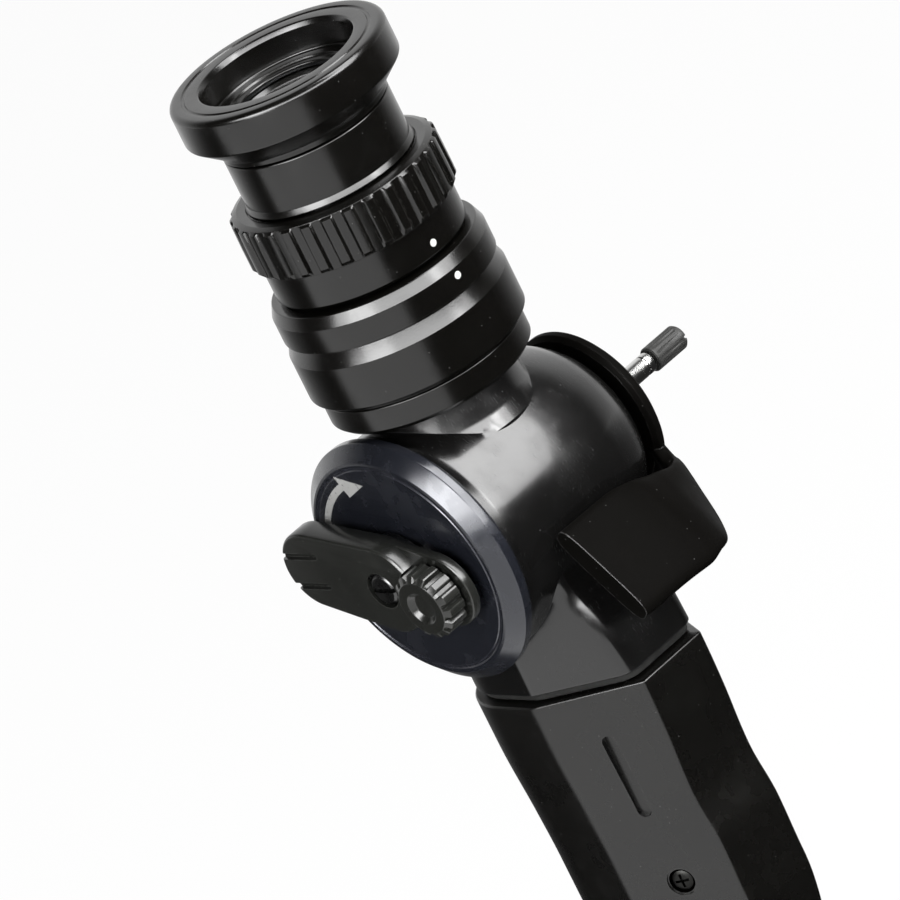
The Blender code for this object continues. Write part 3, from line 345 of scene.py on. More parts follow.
    def blend(self, mask: object, first: object, second: object) -> Flow:
        """Mix two colours by a mask."""
        node = self.node("ShaderNodeMix", {"data_type": "RGBA"}, {0: mask, 6: first, 7: second})
        return Flow(self, node.outputs[2], Kind.COLOUR)

    def edges(self, reach: float = 0.3 * MM, limit: float = 0.07, width: float = 0.1) -> Flow:
        """Mask of the piece's edges.

        Args:
            reach: how far from an edge it goes, in metres.
            limit: how much the surface turns where the mask is a half.
            width: how far the mask's rise takes.

        Returns:
            The mask.
        """
        turned_over = self.node("ShaderNodeBevel", {"samples": 4}, {"Radius": reach})
        true = self.node("ShaderNodeNewGeometry")
        sockets = {0: turned_over.outputs[0], 1: true.outputs["Normal"]}
        cosine = self.node("ShaderNodeVectorMath", {"operation": "DOT_PRODUCT"}, sockets)
        return (1.0 - self.value(cosine, "Value")).above(limit, width)

    def bump(self, height: Flow, depth: float, strength: float = 1.0) -> Flow:
        """Relief from a height.

        Args:
            height: the height, from 0 to 1.
            depth: the relief's depth in metres.
            strength: how much of it shows.

        Returns:
            The normal.
        """
        sockets = {"Height": height, "Distance": depth, "Strength": strength}
        node = self.node("ShaderNodeBump", None, sockets)
        return Flow(self, node.outputs[0], Kind.VECTOR)

    def surface(self, **sockets: object) -> bpy.types.Material:
        """Close the material with one Principled shader.

        Args:
            sockets: its inputs, with _ for a space.

        Returns:
            The material.
        """
        named = {key.replace("_", " "): value for key, value in sockets.items()}
        shader = self.node("ShaderNodeBsdfPrincipled", None, named)
        self.node("ShaderNodeOutputMaterial", None, {"Surface": shader.outputs[0]})
        return self.material


@dataclass(frozen=True)
class MouldedPlastic:
    """Satin black moulding, with grain, handling marks and paler worn edges."""

    name: str = "satin_black_moulding"
    colour: Colour = (0.0024, 0.0022, 0.0018)
    worn: Colour = (0.05, 0.048, 0.045)
    roughness: float = 0.2
    gloss: float = 0.5
    grain: float = 0.28 * MM
    relief: float = 0.012 * MM
    polish: float = 0.0

    def material(self) -> bpy.types.Material:
        """Build the material.

        Returns:
            The material.
        """
        graph = Graph(self.name)
        patches = graph.noise(9.0 * MM, 2.0)
        marks = graph.noise(2.4 * MM, 4.0).above(0.58, 0.16)
        wear = graph.edges() * graph.noise(1.1 * MM, 3.0).above(0.47, 0.2)
        tone = graph.blend(patches, self.colour, tuple(c * 1.5 for c in self.colour))
        dust = graph.specks(1.6 * MM, 0.05) * 0.25
        tone = graph.blend(dust, graph.blend(wear * 0.55, tone, self.worn), (0.3, 0.3, 0.29))
        rough = patches * 0.08 + (self.roughness - 0.04) + marks * 0.04 - wear * 0.08
        fine = graph.noise(self.grain, 2.0)
        return graph.surface(
            Base_Color=tone,
            Roughness=rough,
            Specular_IOR_Level=self.gloss,
            Coat_Weight=graph.edges() * self.polish if self.polish else 0.0,
            Coat_Roughness=0.15,
            Normal=graph.bump(fine, self.relief, 0.6),
        )


@dataclass(frozen=True)
class GlossEnamel:
    """Polished black enamel, with orange peel, finger marks and fine hairlines."""

    name: str = "polished_black_enamel"
    colour: Colour = (0.004, 0.0039, 0.0038)
    roughness: float = 0.18
    gloss: float = 0.55
    coat: float = 0.15
    peel: float = 1.4 * MM

    def material(self) -> bpy.types.Material:
        """Build the material.

        Returns:
            The material.
        """
        graph = Graph(self.name)
        fingers = graph.noise(5.0 * MM, 5.0).above(0.55, 0.25)
        hairlines = graph.noise(0.12 * MM, 2.0, (1.0, 0.08, 0.12)).above(0.66, 0.08)
        tone = graph.blend(
            graph.noise(14.0 * MM, 1.0), self.colour, tuple(c * 1.6 for c in self.colour)
        )
        tone = graph.blend(graph.specks(1.9 * MM, 0.04) * 0.3, tone, (0.3, 0.3, 0.3))
        wear = graph.edges() * 0.3
        tone = graph.blend(wear, tone, (0.07, 0.07, 0.075))
        return graph.surface(
            Base_Color=tone,
            Roughness=fingers * 0.09 + hairlines * 0.06 + self.roughness,
            Specular_IOR_Level=self.gloss,
            Coat_Weight=self.coat,
            Coat_Roughness=0.06,
            Normal=graph.bump(graph.noise(self.peel, 1.0), 0.01 * MM, 0.35),
        )


@dataclass(frozen=True)
class TurnedMetal:
    """Metal with fine rings from the lathe round its axis, and a little tarnish."""

    name: str
    colour: Colour
    dull: Colour
    axis: Axis = Axis.Z
    centre: Pair = (0.0, 0.0)
    roughness: float = 0.22
    pitch: float = 0.09 * MM
    tarnish: float = 0.35

    def material(self) -> bpy.types.Material:
        """Build the material.

        Returns:
            The material.
        """
        graph = Graph(self.name)
        rings = graph.rings(self.axis, self.centre, self.pitch, 2.0)
        stain = graph.noise(3.0 * MM, 4.0).above(0.56, 0.2)
        tone = graph.blend(stain * self.tarnish, self.colour, self.dull)
        tone = graph.blend(rings * 0.25, tone, tuple(c * 0.7 for c in self.colour))
        return graph.surface(
            Base_Color=tone,
            Metallic=1.0,
            Roughness=rings * 0.12 + stain * 0.1 + (self.roughness - 0.06),
            Normal=graph.bump(rings, 0.004 * MM, 0.5),
        )


@dataclass(frozen=True)
class DiscFinish:
    """Blue-black gloss of the side disc, with turning rings and rubbed rims."""

    name: str = "blue_black_disc"
    colour: Colour = (0.0145, 0.016, 0.022)
    rubbed: Colour = (0.12, 0.12, 0.15)
    roughness: float = 0.18
    pitch: float = 0.16 * MM

    def material(self) -> bpy.types.Material:
        """Build the material.

        Returns:
            The material.
        """
        graph = Graph(self.name)
        rings = graph.rings(Axis.X, (0.0, 0.0), self.pitch, 3.0)
        fingers = graph.noise(4.0 * MM, 5.0).above(0.55, 0.22)
        wear = graph.edges() * graph.noise(1.4 * MM, 3.0).above(0.42, 0.25)
        tone = graph.blend(rings * 0.5, self.colour, tuple(c * 1.7 for c in self.colour))
        tone = graph.blend(wear * 0.6, tone, self.rubbed)
        return graph.surface(
            Base_Color=tone,
            Metallic=0.35,
            Roughness=fingers * 0.12 + rings * 0.05 + self.roughness,
            Specular_IOR_Level=0.6,
            Coat_Weight=0.35,
            Coat_Roughness=0.1,
            Normal=graph.bump(rings, 0.004 * MM, 0.4),
        )


@dataclass(frozen=True)
class Rubber:
    """Matt black rubber, powdery in patches."""

    name: str = "black_rubber"
    colour: Colour = (0.009, 0.009, 0.0085)
    bloom: Colour = (0.04, 0.04, 0.038)

    def material(self) -> bpy.types.Material:
        """Build the material.

        Returns:
            The material.
        """
        graph = Graph(self.name)
        cloud = graph.noise(3.5 * MM, 5.0)
        tone = graph.blend(cloud.above(0.55, 0.3) * 0.35, self.colour, self.bloom)
        tone = graph.blend(graph.specks(0.9 * MM, 0.06) * 0.3, tone, (0.2, 0.2, 0.19))
        pores = graph.noise(0.18 * MM, 3.0)
        return graph.surface(
            Base_Color=tone,
            Roughness=cloud * 0.2 + 0.6,
            Specular_IOR_Level=0.25,
            Normal=graph.bump(pores, 0.02 * MM, 0.7),
        )


@dataclass(frozen=True)
class CoatedGlass:
    """Lens glass with a faint coating tint, darker and more tinted towards its rim, and fine specks.
    """

    name: str = "coated_glass"
    tint: Colour = (0.86, 0.9, 0.97)
    bloom: Colour = (0.72, 0.76, 0.95)
    radius: float = 9.0 * MM

    def material(self) -> bpy.types.Material:
        """Build the material.

        Returns:
            The material.
        """
        graph = Graph(self.name)
        _, radius, _ = graph.round_axis(Axis.Z)
        rim = radius.above(self.radius * 0.86, self.radius * 0.2)
        # darker and more tinted towards the rim
        tone = graph.blend(rim * 0.6 + graph.noise(6.0 * MM, 2.0) * 0.3, self.tint, self.bloom)
        dust = graph.specks(1.3 * MM, 0.035)
        return graph.surface(
            Base_Color=graph.blend(dust * 0.5, tone, (0.5, 0.5, 0.5)),
            Roughness=graph.noise(2.0 * MM, 4.0).above(0.6, 0.2) * 0.06 + dust * 0.3 + 0.02,
            Transmission_Weight=0.85,
            IOR=1.52,
            Specular_IOR_Level=0.8,
        )


@dataclass(frozen=True)
class FibreBundle:
    """Glass fibre bundle in its woven sheath, with painted shade between the threads."""

    name: str = "fibre_bundle"
    colour: Colour = (0.42, 0.38, 0.3)
    # colour of the painted shade between the threads
    shade: Colour = (0.16, 0.14, 0.11)

    def material(self) -> bpy.types.Material:
        """Build the material.

        Returns:
            The material.
        """
        graph = Graph(self.name)
        angle, _, along = graph.round_axis(Axis.Z)
        one = (angle * 14.0 + along * 5200.0).sine()
        other = (angle * 14.0 - along * 5200.0).sine()
        weave = one * other * 0.5 + 0.5
        fibres = graph.noise(0.12 * MM, 2.0, (1.0, 1.0, 0.1))
        # The weave's dark cells are painted shade between the threads, laid on the real braid pattern.
        tone = graph.blend(weave * 0.6 + fibres * 0.3, self.shade, self.colour)
        return graph.surface(
            Base_Color=tone,
            Roughness=fibres * 0.2 + 0.45,
            Normal=graph.bump(weave, 0.05 * MM, 0.6),
        )


@dataclass(frozen=True)
class StrandedWire:
    """Stainless wire laid up of strands round its own axis, with painted shade between the strands."""

    name: str
    centre: Pair
    colour: Colour = (0.6, 0.6, 0.58)
    # colour of the painted shade in the grooves between strands
    shade: Colour = (0.2, 0.19, 0.17)
    strands: int = 7

    def material(self) -> bpy.types.Material:
        """Build the material.

        Returns:
            The material.
        """
        graph = Graph(self.name)
        angle, _, along = graph.round_axis(Axis.Z, self.centre)
        lay = (angle * float(self.strands) + along * 2600.0).sine() * 0.5 + 0.5
        oil = graph.noise(1.5 * MM, 4.0).above(0.55, 0.2)
        # The lay's dark troughs are painted shade between the strands, laid on the real strand
        # pattern.
        tone = graph.blend(lay, self.shade, self.colour)
        return graph.surface(
            Base_Color=graph.blend(oil * 0.3, tone, (0.12, 0.1, 0.07)),
            Metallic=1.0,
            Roughness=oil * -0.08 + 0.34 - lay * 0.08,
            Normal=graph.bump(lay, 0.05 * MM, 0.8),
        )


@dataclass(frozen=True)
class MarkPaint:
    """White marking paint, thin at its edges and a little chipped."""

    name: str = "white_marking_paint"
    colour: Colour = (0.78, 0.78, 0.75)
    under: Colour = (0.3, 0.3, 0.3)

    def material(self) -> bpy.types.Material:
        """Build the material.

        Returns:
            The material.
        """
        graph = Graph(self.name)
        chips = graph.noise(0.5 * MM, 4.0).above(0.64, 0.06)
        tone = graph.blend(graph.noise(1.2 * MM, 3.0) * 0.35, self.colour, (0.55, 0.55, 0.54))
        return graph.surface(
            Base_Color=graph.blend(chips, tone, self.under),
            Roughness=graph.noise(0.4 * MM, 3.0) * 0.2 + 0.4,
            Normal=graph.bump(graph.noise(0.25 * MM, 2.0) - chips * 0.5, 0.02 * MM, 0.5),
        )


class Dye(Enum):
    """The finishes that pieces are dressed in."""

    PLASTIC = MouldedPlastic()
    GRIP = MouldedPlastic(
        "matt_black_grip", (0.0028, 0.0026, 0.0022), (0.05, 0.05, 0.048), 0.27, 0.5, 0.4 * MM
    )
    LEVER = MouldedPlastic(
        "lever_black", (0.0028, 0.0026, 0.0023), (0.1, 0.1, 0.098), 0.42, 0.01, polish=1.0
    )
    WING = MouldedPlastic("wing_black", (0.014, 0.0145, 0.013), (0.09, 0.092, 0.085), 0.2, 0.5)
    ENAMEL = GlossEnamel()
    CAP_ENAMEL = GlossEnamel("hub_cap_enamel", (0.012, 0.012, 0.013), 0.18)
    DISC = DiscFinish()
    RUBBER = Rubber()
    GLASS = CoatedGlass()
    FIELD_GLASS = CoatedGlass("field_lens_glass", (0.88, 0.93, 0.95), (0.8, 0.72, 0.9), 7.2 * MM)
    FIBRE = FibreBundle()
    PAINT = MarkPaint()
    ARROW = MarkPaint("grey_marking_paint", (0.42, 0.42, 0.41), (0.2, 0.2, 0.2))
    VENT_CAP = MouldedPlastic("vent_cap_grey", (0.03, 0.03, 0.029), (0.09, 0.09, 0.088), 0.4, 0.25)
    DARK_STEEL = TurnedMetal(
        "blackened_steel", (0.022, 0.022, 0.021), (0.012, 0.012, 0.011), roughness=0.38
    )
    DARK_STEEL_X = TurnedMetal(
        "blackened_steel_across", (0.08, 0.08, 0.08), (0.04, 0.04, 0.038), Axis.X, roughness=0.26
    )
    STEEL_Z = TurnedMetal("turned_steel", (0.62, 0.62, 0.6), (0.4, 0.39, 0.36))
    STEEL_X = TurnedMetal(
        "turned_steel_across", (0.66, 0.66, 0.65), (0.45, 0.44, 0.42), Axis.X, roughness=0.16
    )
    STEEL_PIN = TurnedMetal(
        "cam_pin_steel", (0.6, 0.6, 0.58), (0.4, 0.39, 0.36), Axis.Y, (48.3 * MM, 0.0)
    )
    STEEL_INLET = TurnedMetal(
        "inlet_steel", (0.64, 0.64, 0.62), (0.42, 0.41, 0.38), Axis.Y, (-16.0 * MM, 0.0)
    )
    BRASS_Z = TurnedMetal("turned_brass", (0.62, 0.44, 0.18), (0.3, 0.2, 0.09), tarnish=0.6)
    BRASS_X = TurnedMetal(
        "turned_brass_across", (0.62, 0.44, 0.18), (0.3, 0.2, 0.09), Axis.X, tarnish=0.6
    )
    ALUMINIUM = TurnedMetal("satin_aluminium", (0.5, 0.5, 0.51), (0.36, 0.36, 0.36), roughness=0.34)

    def coat(self, item: bpy.types.Object) -> None:
        """Dress a piece in this finish.

        Args:
            item: the piece.
        """
        material = bpy.data.materials.get(self.value.name) or self.value.material()
        dress(item, material)


def dress(item: bpy.types.Object, material: bpy.types.Material) -> None:
    """Put one material on a piece, on the object and not on its mesh.

    Args:
        item: the piece.
        material: what it wears.
    """
    if not item.data.materials:
        item.data.materials.append(material)
    for slot in item.material_slots:
        slot.link = "OBJECT"
        slot.material = material


def rounded(corners: Profile, closed: bool = True, steps: int = 5) -> list[Pair]:
    """Round an outline's corners.

    Args:
        corners: the outline's points in order, each as (across, along) or (across, along, radius).
        closed: whether it closes on itself.
        steps: how many facets each rounded corner has.

    Returns:
        The points of the rounded outline.
    """
    points: list[Pair] = []
    count = len(corners)
    places = [Vector(corner[:2]) for corner in corners]
    for index, (here, corner) in enumerate(zip(places, corners)):
        radius = corner[2] if len(corner) > 2 else 0.0
        if not radius or (not closed and index in (0, count - 1)):
            points.append((here.x, here.y))
            continue
        before = places[index - 1] - here
        after = places[(index + 1) % count] - here
        half = before.angle(after) / 2
        reach = min(
            radius / math.tan(half), LONGEST_SHARE * before.length, LONGEST_SHARE * after.length
        )
        inward = (before.normalized() + after.normalized()).normalized()
        centre = here + inward * reach / math.cos(half)
        first = here + before.normalized() * reach - centre
        last = here + after.normalized() * reach - centre
        start = math.atan2(first.y, first.x)
        sweep = (math.atan2(last.y, last.x) - start + math.pi) % (2 * math.pi) - math.pi
        for step in range(steps + 1):
            angle = start + sweep * step / steps
            points.append(
                tuple(c + first.length * f(angle) for c, f in zip(centre, (math.cos, math.sin)))
            )
    return points


def through(keys: Sequence[Pair], where: float) -> float:
    """Smooth curve through points, with no overshoot.

    Args:
        keys: (place, value) pairs in order of place.
        where: the place asked for.

    Returns:
        The curve's value there.
    """
    if where <= keys[0][0]:
        return keys[0][1]
    if where >= keys[-1][0]:
        return keys[-1][1]
    slopes = [(b[1] - a[1]) / (b[0] - a[0]) for a, b in zip(keys, keys[1:])]
    tangents = [slopes[0]]
    for a, b in zip(slopes, slopes[1:]):
        tangents.append(0.0 if a * b <= 0 else 2 * a * b / (a + b))
    tangents.append(slopes[-1])
    for index, (low, high) in enumerate(zip(keys, keys[1:])):
        if where <= high[0]:
            span = high[0] - low[0]
            t = (where - low[0]) / span
            rise = 3 * t**2 - 2 * t**3
            return (
                low[1] * (1 - rise)
                + high[1] * rise
                + tangents[index] * span * (t**3 - 2 * t**2 + t)
                + tangents[index + 1] * span * (t**3 - t**2)
            )
    return keys[-1][1]


def solid(name: str, points: Iterable[Triple], faces: Iterable[Sequence[int]]) -> bpy.types.Object:
    """Make a closed mesh of points in millimetres.

    Args:
        name: the piece's name.
        points: its points.
        faces: its faces.

    Returns:
        The new piece.
    """
    mesh = bpy.data.meshes.new(name)
    mesh.from_pydata([tuple(x * MM for x in point) for point in points], [], [list(f) for f in faces])
    work = bmesh.new()
    work.from_mesh(mesh)
    bmesh.ops.remove_doubles(work, verts=work.verts, dist=1e-7)
    bmesh.ops.recalc_face_normals(work, faces=work.faces)
    work.to_mesh(mesh)
    work.free()
    item = bpy.data.objects.new(name, mesh)
    bpy.context.scene.collection.objects.link(item)
    return item


def turned(
    name: str,
    profile: Profile,
    axis: Axis = Axis.Z,
    segments: int = 128,
    centre: Triple = (0.0, 0.0, 0.0),
    form: Optional[Callable[[float, float, float], float]] = None,
) -> bpy.types.Object:
    """Turn a profile about an axis.

    Args:
        name: the piece's name.
        profile: corners of radius and height; a ring's profile closes on itself.
        axis: the axis it is turned about.
        segments: facets round it.
        centre: a point that the axis passes.
        form: gives the radius from (radius, height, angle), for ribs.

    Returns:
        The new piece.
    """
    ring = min(corner[0] for corner in profile) > 0
    points: list[Triple] = []
    rows: list[list[int]] = []
    for radius, height in rounded(profile, ring):
        row = []
        for index in range(segments if radius > 1e-6 else 1):
            angle = 2 * math.pi * index / segments
            reach = form(radius, height, angle) if form else radius
            row.append(len(points))
            place = axis.place((reach * math.cos(angle), reach * math.sin(angle), height))
            points.append(tuple(a + b for a, b in zip(place, centre)))
        rows.append(row)
    faces = []
    pairs = list(zip(rows, rows[1:])) + ([(rows[-1], rows[0])] if ring else [])
    for one, other in pairs:
        for index in range(segments):
            after = index + 1
            corners = [one[index % len(one)], one[after % len(one)]]
            corners += [other[after % len(other)], other[index % len(other)]]
            face = list(dict.fromkeys(corners))
            if len(face) > 2:
                faces.append(face)
    return solid(name, points, faces)


def lofted(name: str, loops: Sequence[Loop], closed: bool = False) -> bpy.types.Object:
    """Skin a solid through loops of equally many points.

    Args:
        name: the piece's name.
        loops: its sections in order.
        closed: whether the last loop joins the first, as in a sleeve.

    Returns:
        The new piece.
    """
    size = len(loops[0])
    points = [point for loop in loops for point in loop]
    faces: list[Sequence[int]] = []
    pairs = [(i, i + 1) for i in range(len(loops) - 1)]
    if closed:
        pairs.append((len(loops) - 1, 0))
    for one, other in pairs:
        for index in range(size):
            after = (index + 1) % size
            corners = (
                one * size + index, one * size + after, other * size + after, other * size + index
            )
            faces.append(corners)
    if not closed:
        faces += [range(size), range((len(loops) - 1) * size, len(loops) * size)]
    return solid(name, points, faces)


def plate(
    name: str, outline: Sequence[Pair], low: float, high: float, basis: Optional[Matrix] = None
) -> bpy.types.Object:
    """Give a flat outline thickness.

    Args:
        name: the piece's name.
        outline: its points in millimetres.
        low: where its back lies along the basis' third axis, in millimetres.
        high: where its face lies.
        basis: its axes and place, in millimetres.

    Returns:
        The new piece.
    """
    turn = basis or Matrix.Identity(4)
    loops = [[tuple(turn @ Vector((a, b, depth))) for a, b in outline] for depth in (low, high)]
    return lofted(name, loops)


def settled(item: bpy.types.Object) -> bpy.types.Object:
    """Apply a piece's modifiers.

    Args:
        item: the piece.

    Returns:
        The piece, with a new mesh.
    """
    bpy.context.view_layer.update()
    graph = bpy.context.evaluated_depsgraph_get()
    mesh = bpy.data.meshes.new_from_object(item.evaluated_get(graph))
    item.modifiers.clear()
    item.data = mesh
    return item


def combined(
    item: bpy.types.Object, tools: Iterable[bpy.types.Object], operation: str
) -> bpy.types.Object:
    """Cut tools from a piece, or join them to it.

    Args:
        item: the piece.
        tools: solids that are used up.
        operation: DIFFERENCE or UNION.

    Returns:
        The changed piece.
    """
    for tool in tools:
        change = item.modifiers.new(tool.name, "BOOLEAN")
        change.operation = operation
        change.object = tool
        change.solver = "EXACT"
        settled(item)
        bpy.data.objects.remove(tool, do_unlink=True)
    return item


def carve(item: bpy.types.Object, *tools: bpy.types.Object) -> bpy.types.Object:
    """Cut tools from a piece."""
    return combined(item, tools, "DIFFERENCE")


def weld(item: bpy.types.Object, *tools: bpy.types.Object) -> bpy.types.Object:
    """Join tools to a piece."""
    return combined(item, tools, "UNION")


def softened(
    item: bpy.types.Object, width: float, angle: float = 35.0, segments: int = 3
) -> bpy.types.Object:
    """Round a piece's sharp edges.

    Args:
        item: the piece.
        width: the rounding's width in millimetres.
        angle: the least angle in degrees of an edge that is rounded.
        segments: facets across the rounding.

    Returns:
        The changed piece.
    """
    bevel = item.modifiers.new("rounding", "BEVEL")
    bevel.width = width * MM
    bevel.segments = segments
    bevel.limit_method = "ANGLE"
    bevel.angle_limit = math.radians(angle)
    bevel.use_clamp_overlap = True
    bevel.miter_outer = "MITER_ARC"
    return settled(item)


def circle(across: float, along: float, radius: float, count: int = 64) -> list[Pair]:
    """Points round a circle."""
    turns = [2 * math.pi * index / count for index in range(count)]
    return [(across + radius * math.cos(a), along + radius * math.sin(a)) for a in turns]


def slab(left: float, low: float, right: float, high: float) -> list[Pair]:
    """Outline of a rectangle between two corners."""
    return [(left, low), (right, low), (right, high), (left, high)]


def belt(*circles: tuple[float, ...]) -> list[Pair]:
    """Outline of a belt pulled round circles.

    Args:
        circles: each as (across, along, radius), with its number of points where that isn't 64.

    Returns:
        The outline's points.
    """
    points = sorted({(round(a, 5), round(b, 5)) for one in circles for a, b in circle(*one)})

    def half(ordered: Iterable[Pair]) -> list[Pair]:
        """Follow one side of the outline.

        Args:
            ordered: the circles' points from one end to the other.

        Returns:
            The side's points, without the last.
        """
        chain: list[Pair] = []
        for point in ordered:
            while len(chain) > 1:
                (ax, ay), (bx, by) = chain[-2], chain[-1]
                if (bx - ax) * (point[1] - ay) - (by - ay) * (point[0] - ax) > 0:
                    break
                chain.pop()
            chain.append(point)
        return chain[:-1]

    return half(points) + half(reversed(points))


# Axes that lay an outline's (y, z) square to +X.
FACING_X = Matrix(((0, 0, 1, 0), (1, 0, 0, 0), (0, 1, 0, 0), (0, 0, 0, 1)))
# What the outlines of the neck and the grip share, in millimetres.
BACK_CENTRE = 2.5
GRIP_HALF_WIDTH = 13.5
GRIP_HALF_DEPTH = 11.5


@dataclass(frozen=True)
class Facets:
    """Outline with a faceted front and an elliptic back, in millimetres."""

    front: float
    half_front: float
    side: float
    side_front: float
    depth: float
    rounding: float
    flank_rounding: float
    step: int

    def outline(self) -> list[Pair]:
        """Follow the outline from the front round the right side and back.

        Returns:
            Its points.
        """
        right = [
            (self.half_front, -self.front, self.rounding),
            (self.side, -self.side_front, self.flank_rounding),
        ]
        for angle in range(0, 91, self.step):
            turn = math.radians(angle)
            right.append((self.side * math.cos(turn), BACK_CENTRE + self.depth * math.sin(turn), 0.0))
        left = [(-across, along, radius) for across, along, radius in reversed(right) if across > 0.3]
        return rounded(right + left)


@dataclass
class Assembly:
    """What every sub-assembly shares: how a piece is dressed and hung on its body."""

    body: str = "root"

    def hang(
        self,
        item: bpy.types.Object,
        dye: Dye,
        slot: str,
        replaces: Sequence[str] = (),
        body: str = "",
        sharp: float = 32.0,
    ) -> bpy.types.Object:
        """Shade, dress and hang one piece.

        Args:
            item: the piece.
            dye: its finish.
            slot: the record's material slot; not used.
            replaces: the CAD nodes that it stands for.
            body: the body that it rides on, if not the assembly's own.
            sharp: the angle in degrees above which an edge stays sharp.

        Returns:
            The piece.
        """
        item.data.shade_smooth()
        item.data.set_sharp_from_angle(angle=math.radians(sharp))
        dye.coat(item)
        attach(item, body or self.body)
        if replaces:
            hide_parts(*replaces)
        LOG.info("%s: %d faces on %s", item.name, len(item.data.polygons), body or self.body)
        return item

    def keep(self, dye: Dye, *nodes: str) -> None:
        """Dress CAD nodes that keep their own meshes.

        Args:
            dye: their finish.
            nodes: their names.
        """
        for name in nodes:
            dye.coat(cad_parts[name])
            LOG.info("%s: CAD mesh, dressed", name)


@dataclass
class Eyepiece(Assembly):
    """Cup, tube, lenses, dioptre ring and barrel, in millimetres."""

    cup_top: float = 73.5
    cup_radius: float = 16.7
    lip: float = 5.6
    cup_height: float = 9.7
    recess_radius: float = 11.7
    recess_floor: float = 68.8
    opening: float = 8.0
    neck_radius: float = 12.8
    neck_top: float = 63.5
    neck_bottom: float = 55.3
    sleeve_radius: float = 11.0
    rib_count: int = 30
    rib_height: float = 0.55
    rib_share: float = 0.52
    ring_radius: float = 15.55
    skirt_radius: float = 14.8
    skirt_bottom: float = 40.9
    barrel_radius: float = 16.9
    barrel_top: float = 40.6
    barrel_bottom: float = 25.0
    ring_top: float = 55.0
    rib_bottom: float = 46.8
    groove_top: float = 35.1

    def build(self) -> None:
        """Make every piece of the eyepiece."""
        self.cup()
        self.tube()
        self.lenses()
        self.ring()
        self.barrel()
        self.marks()

    def cup(self) -> None:
        """Flared eyecup with a rounded rim and a stepped floor."""
        top, radius = self.cup_top, self.cup_radius
        low = top - self.cup_height
        profile = [
            (radius, top, 0.9), (radius, top - self.lip, 0.6),
            (self.neck_radius + 0.2, low + 0.9, 2.5), (self.neck_radius + 0.05, low, 0.1),
            (10.5, low), (10.5, self.recess_floor - 0.8),
            (self.opening, self.recess_floor - 0.8, 0.1), (self.opening, self.recess_floor, 0.25),
            (9.3, self.recess_floor, 0.1), (9.45, self.recess_floor + 0.3, 0.1),
            (10.8, self.recess_floor + 0.3, 0.1), (10.95, self.recess_floor + 0.05, 0.1),
            (self.recess_radius, self.recess_floor + 0.05, 0.4),
            (self.recess_radius, top - 0.8, 0.3), (self.recess_radius + 0.35, top, 0.35),
            (14.1, top, 0.1), (14.25, top - 0.2, 0.1), (14.6, top - 0.2, 0.1), (14.75, top, 0.1),
        ]
        self.hang(turned("eyecup_flared", profile), Dye.PLASTIC, "black_plastic", ["eyecup"])

    def tube(self) -> None:
        """Eyepiece tube with its neck, sleeve, flange and cam slot."""
        top, bottom = self.neck_top, self.neck_bottom
        profile = [
            (10.2, 67.7, 0.2), (10.2, top), (self.neck_radius, top, 0.25),
            (self.neck_radius, bottom + 0.9, 0.3), (self.neck_radius + 0.4, bottom, 0.1),
            (self.sleeve_radius, bottom), (self.sleeve_radius, 38.5), (12.0, 38.5, 0.1),
            (12.0, 36.5, 0.1), (9.2, 36.5, 0.1), (9.2, 62.0), (8.3, 62.0), (8.3, 63.0), (9.3, 63.0),
            (9.3, 67.7, 0.15),
        ]
        tube = turned("eyepiece_tube_turned", profile)
        slot = plate(
            "cam_slot_cutter", belt((0.0, 50.3, 1.1), (0.0, 46.3, 1.1)), 8.2, 12.0, self.facing_back()
        )
        self.hang(carve(tube, slot), Dye.PLASTIC, "black_plastic", ["eyepiece_tube"])

    @staticmethod
    def facing_back() -> Matrix:
        """Axes that lay an outline's (x, z) square to +Y."""
        return Matrix(((-1, 0, 0, 0), (0, 0, 1, 0), (0, 1, 0, 0), (0, 0, 0, 1)))

    def lenses(self) -> None:
        """Eye lens, its retaining ring with spanner slots, and the sliding field lens."""
        rise = [(0.0, 66.45)]
        for share in (0.15, 0.3, 0.45, 0.6, 0.72, 0.84, 0.93):
            rise.append((9.0 * share, 65.65 + 0.8 * (1 - share**2)))
        lens = rise + [(9.0, 65.65, 0.1), (9.0, 63.3, 0.15), (0.0, 63.3)]
        self.hang(
            turned("eye_lens_polished", lens, segments=96),
            Dye.GLASS,
            "lens_glass",
            ["eye_lens"],
            sharp=25.0,
        )
        ring = [
            (9.0, 67.7, 0.1), (9.0, 66.5), (7.7, 66.5, 0.1), (7.9, 67.1, 0.1), (8.3, 67.7, 0.1),
        ]
        retainer = turned("lens_retainer_ring", ring, segments=96)
        slots = [
            plate(f"spanner_slot_{side}", slab(a, b, a + 2.4, b + 1.2), 67.2, 68.5)
            for side, (a, b) in enumerate(((7.2, -0.6), (-9.6, -0.6)))
        ]
        self.hang(carve(retainer, *slots), Dye.PLASTIC, "black_plastic", ["lens_retainer"])
        self.keep(Dye.FIELD_GLASS, "field_lens")
        self.keep(Dye.ALUMINIUM, "lens_cell")
        self.keep(Dye.STEEL_PIN, "cam_pin")

    def rib(self, radius: float, height: float, angle: float) -> float:
        """Radius of the dioptre ring's ribbed band.

        Args:
            radius: the profile's radius.
            height: the height.
            angle: the angle round the ring.

        Returns:
            The radius with its rib.
        """
        low, high = self.rib_bottom + 0.25, self.ring_top - 0.35
        if radius < self.ring_radius - 0.02 or not low < height < high:
            return radius
        share = (angle / (2 * math.pi) * self.rib_count) % 1.0
        edge = (self.rib_share / 2 - abs(share - 0.5)) / 0.09
        ends = min((high - height) / 0.4, (height - self.rib_bottom - 0.25) / 0.4)
        rise = max(0.0, min(1.0, edge + 0.5)) * max(0.0, min(1.0, ends))
        crown = 0.06 * (1 - (2 * (share - 0.5) / self.rib_share) ** 2) if rise else 0.0
        return radius + (self.rib_height - 0.06) * rise + max(0.0, crown) * rise

